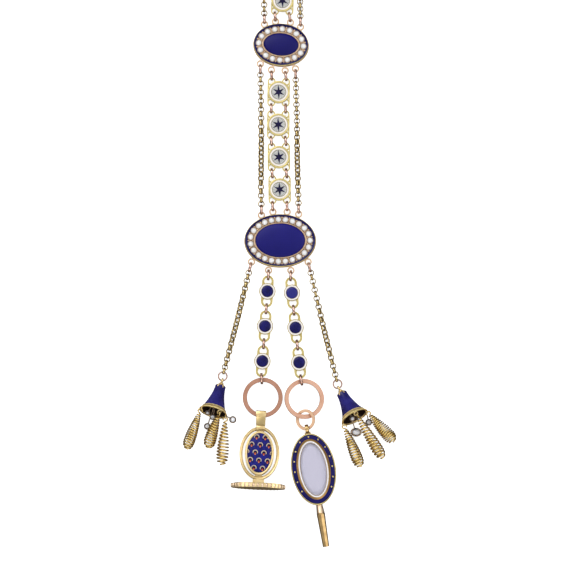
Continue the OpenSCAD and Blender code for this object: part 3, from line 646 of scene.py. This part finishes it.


# Each metal below has a bright, a dull and a shade colour; the shade colour is painted shade, laid where
# other surfaces stand near
SHADE_BROWN = (0.1, 0.05, 0.015)
SHADE_UMBER = (0.12, 0.045, 0.03)
yellow_gold = metal("yellow_gold", (0.8, 0.66, 0.27), (0.56, 0.42, 0.13), SHADE_BROWN, (0.26, 0.38))
chain_gold = metal("chain_gold", (0.74, 0.56, 0.25), (0.38, 0.25, 0.1), (0.05, 0.022, 0.008),
                   (0.24, 0.36), 1300.0, 0.85, reach=1.2)
pale_gold = metal("pale_gold", (0.9, 0.7, 0.36), (0.72, 0.5, 0.2), (0.2, 0.1, 0.03),
                  (0.28, 0.4), 400.0, 0.5, ripple=0.02)
strap_gold = metal("strap_gold", (0.55, 0.42, 0.2), (0.38, 0.27, 0.11), (0.3, 0.16, 0.05),
                   (0.3, 0.42), 400.0, 0.5, ripple=0.02)
plate_gold = metal("plate_gold", (0.98, 0.77, 0.54), (0.74, 0.46, 0.28), (0.3, 0.14, 0.06),
                   (0.36, 0.48), 700.0, ripple=0.03)
coil_gold = metal("coil_gold", (0.95, 0.72, 0.28), (0.62, 0.38, 0.1), (0.1, 0.045, 0.01),
                  (0.34, 0.46), 1500.0, 0.8)
setting_gold = metal("setting_gold", (0.9, 0.66, 0.44), (0.62, 0.38, 0.22), SHADE_UMBER,
                     (0.28, 0.42), 1600.0, 0.7, reach=0.4, metallic=0.6)
rim_gold = metal("rim_gold", (0.74, 0.61, 0.25), (0.5, 0.4, 0.14), SHADE_BROWN, (0.28, 0.42), metallic=0.55)
bell_gold = metal("bell_gold", (1.0, 0.8, 0.42), (0.8, 0.56, 0.22), (0.14, 0.07, 0.02),
                  (0.42, 0.55), amount=0.7, reach=0.6)
lip_gold = metal("lip_gold", (1.0, 0.82, 0.36), (0.85, 0.6, 0.2), (0.3, 0.18, 0.05),
                 (0.4, 0.55), amount=1.0, reach=0.15, metallic=0.2)
rose_gold = metal("rose_gold", (0.86, 0.58, 0.47), (0.36, 0.17, 0.12), (0.04, 0.01, 0.008),
                  (0.22, 0.34), amount=0.8, reach=1.0)
bow_gold = metal("bow_gold", (1.0, 0.66, 0.42), (0.9, 0.5, 0.3), SHADE_UMBER,
                 (0.42, 0.52), 500.0, ripple=0.03, metallic=0.5)
key_gold = metal("key_gold", (0.66, 0.45, 0.2), (0.4, 0.24, 0.09), SHADE_BROWN, (0.26, 0.38), 500.0)
seat_gold = metal("seat_gold", (0.26, 0.15, 0.06), (0.17, 0.085, 0.03), SHADE_BROWN, (0.3, 0.42), 500.0)
dark_silver = metal("dark_silver", (0.56, 0.43, 0.32), (0.2, 0.13, 0.09), (0.03, 0.02, 0.02),
                    (0.3, 0.45), 1500.0)
# A near-black metal, used only for the liner inside each bell: painted shade in the bell's hollow
inner_shade = metal("inner_shade", (0.05, 0.03, 0.025), (0.02, 0.012, 0.01), (0.01, 0.006, 0.005), (0.5, 0.7))
left_split_gold = brushed_ring("left_split_gold", (0.66, 0.36, 0.25), (0.48, 0.23, 0.15), SPLIT_RINGS[0])
right_split_gold = brushed_ring("right_split_gold", (0.84, 0.53, 0.38), (0.64, 0.34, 0.23), SPLIT_RINGS[1])
lower_blue = engine_turned("lower_blue", (0.011, 0.009, 0.2), (0.004, 0.003, 0.1), (0, 0), 0)
upper_blue = engine_turned("upper_blue", (0.008, 0.006, 0.16), (0.003, 0.002, 0.07), UPPER_AT, UPPER_TURN)
border_blue = enamel("border_blue", (0.008, 0.005, 0.1), (0.003, 0.002, 0.045), 260.0, 0.3, 0.15)
bell_blue = enamel("bell_blue", (0.026, 0.022, 0.21), (0.005, 0.004, 0.06), 200.0, 0.3, 0.2)
link_blue = enamel("link_blue", (0.006, 0.005, 0.13), (0.002, 0.001, 0.05), 700.0, 0.3, 0.1)
star_blue = enamel("star_blue", (0.008, 0.006, 0.06), (0.003, 0.002, 0.02), 900.0, 0.3, 0.1)
key_blue = enamel("key_blue", (0.008, 0.006, 0.14), (0.003, 0.002, 0.05), 300.0, 0.35, 0.0)
paler_at(link_blue, CIRCLES[3], 2.2, (0.022, 0.024, 0.2))
white_enamel = enamel("white_enamel", (0.97, 0.92, 0.88), (0.9, 0.84, 0.78), 900.0, 0.3, 0.2)
pearl_white = pearl("pearl_white", (0.86, 0.85, 0.84), (0.97, 0.97, 0.97), 0.6)
drop_white = pearl("drop_white", (0.84, 0.86, 0.94), (0.95, 0.96, 1.0), 0.2)
seal_blue = feather_enamel("seal_blue")
silvered = engraved_disc("silvered")
locket_glass = clear_glass("locket_glass")
ground_edge = ground_glass("ground_edge")
locket_lining = silk("locket_lining")

CAD_MATERIALS = {
    yellow_gold: ["hook_plate"] + [f"star_link_{i}" for i in range(1, 6)]
    + [f"circle_link_{side}_{i}" for side in SIDES for i in (1, 2, 3)],
    chain_gold: [f"{run}_chain_{side}" for run in ("upper", "long", "tassel") for side in SIDES],
    setting_gold: ["upper_plaque_mount", "lower_plaque_mount"],
    pale_gold: ["seal_body"],
    key_gold: ["key_body"],
    bell_gold: ["bell_left", "bell_right"],
    coil_gold: [f"coil_{side}_{i}" for side in SIDES for i in (1, 2, 3)],
    rose_gold: ["top_jump_rings", "star_jump_rings", "chain_jump_rings", "strand_jump_rings",
                "tassel_ring_left", "tassel_ring_right"],
    bow_gold: ["key_bow_ring"],
    left_split_gold: ["split_ring_left"],
    right_split_gold: ["split_ring_right"],
    border_blue: ["upper_border_enamel", "lower_border_enamel"],
    upper_blue: ["upper_centre_enamel"],
    lower_blue: ["lower_centre_enamel"],
    star_blue: ["star_blue_inlays"],
    link_blue: ["circle_blue_enamels"],
    bell_blue: ["bell_enamel_left", "bell_enamel_right"],
    key_blue: ["key_enamel"],
    seal_blue: ["seal_enamel"],
    white_enamel: ["star_white_enamels", "circle_white_enamels", "star_centres"],
    pearl_white: ["upper_pearls", "lower_pearls"],
    drop_white: ["tassel_pearls_left", "tassel_pearls_right"],
    dark_silver: ["tassel_collets_left", "tassel_collets_right"],
    locket_glass: ["key_glass"],
}
for material, names in CAD_MATERIALS.items():
    for name in names:
        nodes[name].data.materials.clear()
        nodes[name].data.materials.append(material)


# Chain links and jump rings

def fuller(node, grow):
    """Copies a run of links with its own mesh and rounds its wire out a little."""
    pick(nodes[node])
    bpy.ops.object.duplicate(linked=False)
    piece = bpy.context.object
    piece.name = f"{node}_wires"
    bpy.ops.object.mode_set(mode="EDIT")
    bpy.ops.mesh.select_all(action="SELECT")
    bpy.ops.mesh.remove_doubles(threshold=TOUCHING)
    bpy.ops.transform.shrink_fatten(value=grow * MM)
    bpy.ops.object.mode_set(mode="OBJECT")
    settle(piece, piece.matrix_world.copy())
    above_table(piece)
    return piece


for name in CAD_MATERIALS[chain_gold]:
    finish(fuller(name, LINK_GROWTH), chain_gold, [name], 50)
for name in ("top_jump_rings", "star_jump_rings", "chain_jump_rings", "strand_jump_rings"):
    finish(fuller(name, RING_GROWTH), rose_gold, [name], 50)


# Plaques

def even_angles(count, long, short):
    """Angles that space stones evenly by length round an oval of two half lengths."""
    steps = 720
    angles = [TAU * step / steps for step in range(steps + 1)]
    points = [(long * math.cos(angle), short * math.sin(angle)) for angle in angles]
    run = [0.0]
    for start, end in zip(points, points[1:]):
        run.append(run[-1] + math.dist(start, end))
    spots = [run[-1] * stone / count for stone in range(count)]
    return [angles[min(range(steps + 1), key=lambda step: abs(run[step] - spot))] for spot in spots]


def plaque(which, at, turn, half, stones, centre, blue):
    """An oval plaque's blue centre and border, its half pearls in cups with grains, and its wires."""
    base = placed(*at, 0, turn)
    bed = base @ raised(BED)
    count, long, short = stones
    angles = even_angles(count, long, short)
    shrink = half[0] - half[1]
    reach = centre[0]

    def on_bed(angle, height, beside=0.0):
        x = (long + beside) * math.cos(angle)
        y = (short + beside) * math.sin(angle)
        return base @ shifted(x, y, BED + height)

    outline = [(0, 0), (reach, 0), (reach, 0.4), *dome_outline(reach, 0.85, 0.45, 24, 2, 0.9), (0, 1.3)]
    dome = turned(f"{which}_dome", outline, 96)
    stretched(dome, 1, centre[1] / reach)
    settle(dome, base @ raised(BED + 0.03))
    finish(dome, blue, [f"{which}_centre_enamel"])

    outer = half[0] - 0.34
    inner = long + 0.55
    outline = [(inner, 0.03), (outer, 0.03), (outer, 0.46), (outer + 0.12, 0.46), (outer + 0.1, 0.52),
               (outer - 0.1, 0.5), (outer - 0.4, 0.4), ((inner + outer) / 2, 0.37), (inner + 0.15, 0.32),
               (inner, 0.24)]
    oval_band(f"{which}_border", outline, shrink, bed, border_blue,
              [f"{which}_border_enamel"], 35)

    outline = [(0, 0), (0.92, 0), *dome_outline(0.94, 0.97), (0, 0.97)]
    places = []
    for index, angle in enumerate(angles):
        size = 1 + 0.03 * math.sin(7.3 * index)
        height = 0.94 + 0.05 * math.sin(3.1 * index)
        places.append(on_bed(angle, 0.33) @ Matrix.Rotation(index * 1.7, 4, "Z")
                      @ Matrix.Diagonal((size, 1 / size, height, 1)))
    turned_set(f"{which}_half_pearls", outline, 24, places, pearl_white, [f"{which}_pearls"], 60)

    outline = [(0.96, 0), (1.08, 0), (1.1, 0.2), (1.05, 0.34), (0.97, 0.37), (0.95, 0.25)]
    places = [on_bed(angle, 0.25) for angle in angles]
    turned_set(f"{which}_pearl_cups", outline, 24, places, setting_gold, angle=60)

    outline = [(0, 0), (0.26, 0), (0.25, 0.14), (0.17, 0.26), (0, 0.3)]
    between = [(first + second) / 2 for first, second in zip(angles, angles[1:] + [angles[0] + TAU])]
    places = [on_bed(angle, 0.28, side) for angle in between for side in (0.72, -0.72)]
    turned_set(f"{which}_grains", outline, 10, places, setting_gold, angle=60)

    outline = [(reach + 0.1, 0.5), (reach + 0.3, 0.5), (reach + 0.36, 0.72), (reach + 0.22, 0.84),
               (reach + 0.1, 0.75)]
    oval_band(f"{which}_inner_wire", outline, centre[0] - centre[1], bed, setting_gold)

    reach = half[0]
    outline = [(reach - 0.23, -1.0), (reach + 0.01, -1.0), (reach + 0.02, 0.3), (reach - 0.04, 0.44),
               (reach - 0.17, 0.5), (reach - 0.23, 0.4)]
    oval_band(f"{which}_rim_wire", outline, shrink, bed, rim_gold)


plaque("upper", UPPER_AT, UPPER_TURN, UPPER_HALF, UPPER_PEARLS, UPPER_CENTRE, upper_blue)
plaque("lower", (0, 0), 0, LOWER_HALF, LOWER_PEARLS, LOWER_CENTRE, lower_blue)


# Star and circle links

def star_place(index):
    """A star link's place; the top one slopes up to the hook plate."""
    x, y, turn = STARS[index]
    slope, extra = (TOP_STAR_SLOPE, TOP_STAR_RAISED) if index == 0 else (0, 0)
    return placed(x, y, EYE_Z + extra, turn) @ rotated(slope, "X") @ raised(-EYE_Z)


def flat_plate(corners):
    deselect()
    radius = STAR_DISC * MM
    bpy.ops.mesh.primitive_circle_add(vertices=corners, radius=radius, fill_type="NGON", calc_uvs=True)
    return bpy.context.object


def star_inlay():
    """A six-pointed star, its two upright points the longest."""
    piece = flat_plate(12)
    for index, vertex in enumerate(piece.data.vertices):
        angle = math.radians(30 * index - 3)
        point = STAR_UPRIGHT if index % 6 == 0 else STAR_POINT
        reach = (STAR_NOTCH if index % 2 else point) * MM
        vertex.co = (reach * math.sin(angle), reach * math.cos(angle), 0)
    return thicken(piece, 0.1, 0.06, 0.05)


star_places = [star_place(i) for i in range(len(STARS))]
star_floors = [place @ raised(DISC_FLOOR + 0.03) for place in star_places]
circle_places = [placed(x, y, DISC_FLOOR + 0.03, turn) for x, y, turn in CIRCLES]

finish(repeated("star_centre_discs", thicken(flat_plate(48), 0.1), star_floors), silvered,
       ["star_centres"])
finish(repeated("star_inlays", star_inlay(), [place @ raised(DISC_FLOOR + 0.11) for place in star_places]),
       star_blue, ["star_blue_inlays"])
turned_set("star_white_rings",
           [(2.5, 0), (3.1, 0), (3.1, 0.14), (2.98, 0.2), (2.8, 0.22), (2.6, 0.2), (2.5, 0.14)],
           64, star_floors, white_enamel, ["star_white_enamels"])
turned_set("star_edge_wires",
           [(3.1, 0.1), (3.72, 0.1), (3.76, 0.24), (3.62, 0.33), (3.24, 0.33), (3.1, 0.24)],
           64, star_floors, rim_gold, angle=60)
turned_set("circle_white_rings",
           [(1.98, 0), (2.52, 0), (2.56, 0.12), (2.48, 0.24), (2.25, 0.3), (2.06, 0.26), (2, 0.12)],
           56, circle_places, white_enamel, ["circle_white_enamels"])
turned_set("circle_blue_middles",
           [(0, 0), (1.86, 0), (1.88, 0.16), (1.76, 0.24), (1.3, 0.31), (0.7, 0.35), (0, 0.36)],
           48, circle_places, link_blue, ["circle_blue_enamels"])
turned_set("circle_edge_wires",
           [(2.56, 0), (2.72, 0), (2.77, 0.12), (2.7, 0.26), (2.6, 0.26), (2.55, 0.12)],
           56, circle_places, rim_gold, angle=60)


# Seal

seal = placed(*SEAL_AT, SEAL_TURN) @ rotated(-SEAL_SLOPE, "X")
seal_frame = seal @ shifted(0, SEAL_FRAME_Y)

oval_band("seal_frame_moulding",
          [(7.82, -0.3), (7.82, 0.5), (7.88, 0.68), (8.04, 0.74), (8.18, 0.62), (8.3, 0.58), (8.44, 0.68),
           (8.66, 0.74), (8.82, 0.56), (8.87, 0.2), (8.84, -0.3), (8.5, -0.67), (8.1, -0.67)],
          SEAL_FRAME_SHRINK, seal_frame, pale_gold, axis=0)
oval_band("seal_bezel",
          [(6.66, 0.5), (7.34, 0.5), (7.37, 0.9), (7.3, 1.24), (7.12, 1.38), (6.86, 1.36), (6.68, 1.2)],
          SEAL_BEZEL_SHRINK, seal_frame, pale_gold, axis=0)

across, reach = SEAL_DOME
outline = [(0, 0), (reach, 0), (reach, 0.5), *dome_outline(reach, 0.6, 0.5, 24, 2), (0, 1.1)]
painted = turned("seal_painted_dome", outline, 96)
stretched(painted, 0, across / reach)
settle(painted, seal_frame @ raised(0.63))
finish(painted, seal_blue, ["seal_enamel"])


def gadrooned():
    """The seal plate's edge: an oval band worked into rounded lobes."""
    outline = [(8.4, -0.72), (8.85, -0.76), (9.1, -0.52), (9.18, 0), (9.1, 0.52), (8.85, 0.76), (8.4, 0.72),
               (7.9, 0.62), (7.9, -0.62)]
    piece = turned("seal_plate_edge", outline, 264)
    for vertex in piece.data.vertices:
        if math.hypot(vertex.co.x, vertex.co.y) > 8.3 * MM:
            angle = math.atan2(vertex.co.y, vertex.co.x)
            valley = 1 - abs(math.sin(SEAL_LOBES / 2 * angle))
            vertex.co.x *= 1 - 0.05 * valley
            vertex.co.y *= 1 - 0.05 * valley
            vertex.co.z *= 1 - 0.3 * valley
    squeeze(piece, SEAL_PLATE_SHRINK)
    settle(piece, seal @ shifted(0, SEAL_PLATE_Y) @ rotated(90, "X"))
    above_table(piece)
    return piece


def bail_bar(name, size, bevel, at):
    """A rounded bar set on the seal's bail."""
    piece = bar(name, size, bevel)
    settle(piece, seal @ shifted(*at))
    return piece


finish(gadrooned(), plate_gold, angle=60)
bands = [bail_bar("seal_bail_roll", (3.44, 1.66, 0.36), 0.17, (0, 0.48, 0.81)),
         bail_bar("seal_bail_band", (3.02, 1.3, 0.52), 0.24, (0, -4.15, 0.74)),
         bail_bar("seal_bail_line", (2.94, 0.22, 0.4), 0.09, (0, -5.05, 0.72))]
finish(joined("seal_bail_bands", bands), pale_gold, angle=60)
strap = bail_bar("seal_bail_strap", (3.14, 2.86, 0.3), 0.13, (0, -1.95, 0.82))
finish(strap, strap_gold, angle=60)


# Watch key

locket = placed(*KEY_AT[:2], 0, KEY_TURN) @ shifted(0, KEY_BODY_Y)
pipe = placed(*KEY_AT[:2], KEY_TOP / 2, KEY_TURN) @ rotated(90, "X")


def locket_band(name, outline, material, replaces=(), angle=60):
    """A band round the locket, its heights measured from the key's face."""
    outline = [(radius, KEY_TOP + height) for radius, height in outline]
    oval_band(name, outline, LOCKET_SHRINK, locket, material, replaces, angle, axis=0)


def locket_plate(name, outline, steps, solid, material, replaces=(), angle=35):
    """A plate inside the locket, with no hole in its middle."""
    plate = turned(name, outline, steps)
    squeeze(plate, LOCKET_SHRINK, solid, axis=0)
    settle(plate, locket @ raised(KEY_TOP - 0.97))
    finish(plate, material, replaces, angle)


locket_band("key_blue_border", [(10.12, -0.48), (11.52, -0.48), (11.52, -0.3), (11.2, -0.12), (10.7, -0.02),
                                (10.2, 0.02), (10.12, -0.1)], key_blue, ["key_enamel"], 35)

dots = []
for angle in even_angles(DOT_COUNT, DOT_RING[1], DOT_RING[0]):
    beside_pipe = math.cos(angle) <= -0.78
    if not beside_pipe:
        dots.append(locket @ shifted(DOT_RING[0] * math.sin(angle), DOT_RING[1] * math.cos(angle),
                                     KEY_TOP - 0.06))
turned_set("key_gold_dots", [(0, 0), (0.3, 0), (0.28, 0.08), (0.18, 0.14), (0, 0.17)],
           12, dots, yellow_gold, angle=60)

locket_band("key_inner_slope", [(9.34, -0.5), (10.12, -0.5), (10.14, 0.06), (10.02, 0.12), (9.6, 0),
                                (9.34, -0.12)], seat_gold, angle=40)
locket_band("key_outer_wire", [(11.5, -0.6), (11.84, -0.6), (11.92, -0.3), (11.82, -0.06), (11.62, -0.02),
                               (11.5, -0.16)], rim_gold)
locket_plate("key_lining", [(0, 0), (9.1, 0), (9.1, 0.1), (0, 0.12)], 64, 9.0, locket_lining)
locket_plate("key_pane", [(0, 0.14), (8.72, 0.14), (8.72, 0.84), (8.5, 0.95), (8.1, 1.1), (7.9, 1.14),
                          (0, 1.2)], 96, 8.6, locket_glass, ["key_glass"], 20)
locket_band("key_ground_bevel", [(8.94, -0.4), (9.36, -0.25), (9.36, 0.02), (9.25, 0.08), (8.94, 0.02)],
            ground_edge, angle=30)
locket_band("key_bevel_line", [(8.72, -0.4), (8.95, -0.4), (8.95, 0.05), (8.72, 0.05)],
            dark_silver, angle=30)


def along_axis(name, outline, steps, place, material, replaces=(), angle=60):
    """A turned piece set along the pipe or a bell."""
    piece = turned(name, outline, steps)
    settle(piece, place)
    finish(piece, material, replaces, angle)


along_axis("key_stem", [(0.7, 28.3), (1.0, 28.3), (1.3, 31.0), (1.4, 31.2), (1.4, 31.34), (1.2, 31.36),
                        (0.7, 31.3)], 32, pipe, plate_gold)
along_axis("key_pipe_collar", [(1.0, 31.48), (1.4, 31.5), (1.46, 31.62), (1.42, 31.8), (1.0, 31.82)],
           32, pipe, key_gold)


# Tassels

def bell_frame(hand):
    """The bell's own frame, with its X axis running down from the ring to the mouth."""
    return placed(*BELL_TOPS[hand], BELL_HEADINGS[hand]) @ rotated(-BELL_SLOPE, "Y")


def bell_point(hand, down, out, angle):
    """A point by its distance down the bell's axis, its distance out from it and its angle round it."""
    turn = math.radians(angle)
    return bell_frame(hand) @ (Vector((down, out * math.cos(turn), out * math.sin(turn))) * MM) / MM


def bell_radius(down):
    return BELL_NECK + BELL_FLARE * (max(down, 0) / BELL_SKIRT) ** 1.7


def lookup(table, place):
    """Reads a table of (place, value) rows, straight between rows."""
    for (start, first), (end, last) in zip(table, table[1:]):
        if place <= end:
            return first + (last - first) * (place - start) / (end - start)
    return table[-1][1]


def bell(hand):
    """The enamelled bell's skin, lip, a dark liner inside as painted shade, row of leaves and cap."""
    side = SIDES[hand]
    axis = bell_frame(hand) @ rotated(90, "Y")

    rows = [0.03 + (BELL_SKIRT - 0.06) * step / 24 for step in range(25)]
    skin = [(bell_radius(down), down) for down in rows]
    skin += [(bell_radius(down) - 0.27, down) for down in reversed(rows)]
    along_axis(f"bell_skin_{side}", skin, 64, axis, bell_blue, [f"bell_enamel_{side}"], 35)

    outline = [(3.7, 8.1), (3.9, 8.1), (4.06, 8.24), (4.1, 8.5), (4.2, 8.7), (4.44, 9.0), (4.7, 9.34),
               (4.8, 9.45), (4.8, 9.55), (4.62, 9.57), (4.3, 9.25), (3.78, 8.6)]
    lip = turned(f"bell_lip_{side}", outline, 128)
    for vertex in lip.data.vertices:
        if vertex.co.z > 9.3 * MM:
            angle = math.atan2(vertex.co.y, vertex.co.x)
            vertex.co.z += 0.1 * MM * (abs(math.sin(LIP_WAVES / 2 * angle)) - 0.8)
    settle(lip, axis)
    finish(lip, lip_gold, angle=60)

    # A dark liner inside the bell, standing in for the shade in its hollow mouth
    rows = [1.4 + 0.33 * step for step in range(25)]
    hollow = [(bell_radius(min(down, BELL_SKIRT)) - 0.82 + 0.89 * max(down - BELL_SKIRT, 0), down)
              for down in rows]
    lining = hollow + [(radius - 0.06, down) for radius, down in reversed(hollow)]
    along_axis(f"bell_inside_{side}", lining, 48, axis, inner_shade)

    leaf = bar("leaf", (0.7, 0.12, 1.5), 0.05)
    for vertex in leaf.data.vertices:
        if vertex.co.z > 0:
            vertex.co.x *= 0.15
        vertex.co.z += 0.55 * MM
    places = [axis @ rotated(360 * step / BELL_LEAVES, "Z") @ shifted(0, 1.72) for step in range(BELL_LEAVES)]
    finish(repeated(f"bell_leaves_{side}", leaf, places), bell_gold, angle=60)

    cap = [(0.3, -1.3), (0.62, -1.25), (0.78, -1.05), (0.7, -0.85), (1.0, -0.6), (1.5, -0.25), (1.73, -0.05),
           (1.72, 0.12), (1.3, 0.1), (0.3, 0)]
    along_axis(f"bell_cap_{side}", cap, 32, axis, bell_gold)


def coil_points(hand, number):
    """An open hook, a straight lead and a swelling helix, in millimetres."""
    angle, down, tip = COILS[hand][number]
    start = bell_point(hand, down, BELL_MOUTH - 0.4, angle)
    run = Vector(tip) - start
    length = run.length
    ahead = run.normalized()
    out = (bell_point(hand, down, BELL_MOUTH, angle) - bell_point(hand, down, 0, angle)).normalized()
    up = (out - out.dot(ahead) * ahead).normalized()
    across = up.cross(ahead)
    size, turns, _ = COIL_SIZES[hand][number]
    points = []
    for degrees in range(300, -1, -15):
        turn = math.radians(degrees)
        points.append((HOOK_AHEAD + HOOK_RADIUS * math.cos(turn), 0, HOOK_RADIUS * math.sin(turn)))
    points.append((HOOK_AHEAD + HOOK_RADIUS + 0.2, 0, -0.04))
    steps = turns * COIL_STEPS
    for step in range(steps + 1):
        share = step / steps
        radius = lookup(COIL_SHAPE, share) * size
        turn = TAU * step / COIL_STEPS
        sag = 0.26 * radius * math.sin(turn) * math.sin(math.pi * share)
        points.append((COIL_LEAD + (length - COIL_LEAD) * share + sag, radius * math.sin(turn),
                       -radius * math.cos(turn)))
    return [start + point[0] * ahead + point[1] * across + point[2] * up for point in points]


def coil(hand, number):
    """A wound coil on its hook, as a wire that follows the coil's points."""
    points = coil_points(hand, number)
    wire = COIL_SIZES[hand][number][2]
    name = f"coil_{SIDES[hand]}_{number + 1}"
    curve = bpy.data.curves.new(f"wound_{name}", "CURVE")
    curve.dimensions = "3D"
    curve.bevel_depth = wire * MM
    curve.bevel_resolution = 2
    curve.use_fill_caps = True
    line = curve.splines.new("POLY")
    line.points.add(len(points) - 1)
    for index, (point, place) in enumerate(zip(line.points, points)):
        point.co = (*(place * MM), 1)
        point.radius = HOOK_WIRES[number] / wire if index < HOOK_POINTS else 1
    piece = bpy.data.objects.new(curve.name, curve)
    bpy.context.scene.collection.objects.link(piece)
    pick(piece)
    bpy.ops.object.convert(target="MESH")
    finish(bpy.context.object, coil_gold, [name], 60)


def tassel_stones(hand):
    """The loose pearls below a bell, each in a cup with a waved edge."""
    side = SIDES[hand]
    stones = []
    cups = []
    for at, radius, stretch in DROPS[hand]:
        place = placed(*at) @ Matrix.Diagonal((radius * stretch, radius, radius, 1))
        stone = turned("drop", [(0, -0.02), (0.82, -0.02), *dome_outline(0.84, 0.98), (0, 1)], 24)
        settle(stone, place)
        stones.append(stone)
        cup = turned("cup", [(0.3, -0.62), (0.75, -0.6), (1.12, -0.2), (1.21, 0.08), (1.14, 0.34),
                             (0.98, 0.42), (0.84, 0.3), (0.84, -0.1), (0.3, -0.12)], 24)
        for vertex in cup.data.vertices:
            if vertex.co.z > 0:
                vertex.co.z += 0.14 * MM * math.cos(6 * math.atan2(vertex.co.y, vertex.co.x))
        settle(cup, place)
        cups.append(cup)
    finish(joined(f"tassel_drops_{side}", stones), drop_white, [f"tassel_pearls_{side}"], 60)
    finish(joined(f"tassel_cups_{side}", cups), dark_silver, angle=60)


for hand in (0, 1):
    bell(hand)
    tassel_stones(hand)
    for number in (0, 1, 2):
        coil(hand, number)


# Table, light and camera

deselect()
bpy.ops.mesh.primitive_plane_add(size=3.0, location=(0, 0, 0))
table = bpy.context.object
table.name = "table"
paper, tree, shader, place = base_material("pale_table")
ground = blend(tree, noise(tree, place, 8.0), (0.93, 0.93, 0.93), (0.95, 0.95, 0.95))
# Glossy rays see the table as dark (0.12, 0.11, 0.1) and without glow: a painted dark reflection on the
# metal's sides; to the camera it stays evenly white and glowing
ray = add(tree, "ShaderNodeLightPath").outputs["Is Glossy Ray"]
tree.links.new(blend(tree, ray, ground, (0.12, 0.11, 0.1)), shader.inputs["Base Color"])
shader.inputs["Roughness"].default_value = 0.9
shader.inputs["Specular IOR Level"].default_value = 0.0
shader.inputs["Emission Color"].default_value = (1, 1, 1, 1)
tree.links.new(spread(tree, ray, 0, 1, 0.75, 0.0), shader.inputs["Emission Strength"])
table.data.materials.append(paper)

world = bpy.data.worlds.new("studio")
bpy.context.scene.world = world
world.use_nodes = True
sky = world.node_tree
background = sky.nodes["Background"]
background.inputs["Color"].default_value = (0.97, 0.98, 1.0, 1)
height = along(sky, add(sky, "ShaderNodeTexCoord").outputs["Generated"])[2]
sky.links.new(spread(sky, height, 0.15, 0.9, 0.06, 0.68), background.inputs["Strength"])


def lamp(name, place, size, power):
    """A soft rectangular lamp that looks at the part, placed and sized in metres."""
    light = bpy.data.lights.new(name, "AREA")
    light.shape = "RECTANGLE"
    light.size, light.size_y = size
    light.energy = power
    thing = bpy.data.objects.new(name, light)
    bpy.context.scene.collection.objects.link(thing)
    thing.location = place
    thing.rotation_euler = (Vector((0, -0.01, 0)) - Vector(place)).to_track_quat("-Z", "Y").to_euler()


lamp("key_light", (-0.35, 0.5, 0.8), (0.8, 0.5), 4.3)
lamp("fill_light", (0.65, 0.1, 0.7), (0.5, 0.7), 1.8)
lamp("front_light", (0.0, -0.8, 0.5), (0.8, 0.4), 2.4)

camera_data = bpy.data.cameras.new("camera")
camera = bpy.data.objects.new("camera", camera_data)
bpy.context.scene.collection.objects.link(camera)
bpy.context.scene.camera = camera
lean = math.radians(90 - CAMERA_ELEVATION)
away = Vector((0, -math.sin(lean), math.cos(lean))) * CAMERA_DISTANCE
camera.location = Vector(CAMERA_TARGET) * MM + away
camera.rotation_euler = (lean, 0, 0)
camera_data.sensor_width = SENSOR
camera_data.lens = SENSOR * CAMERA_DISTANCE / VIEW_WIDTH
camera_data.clip_end = 10.0
bpy.context.scene.view_settings.view_transform = "Standard"
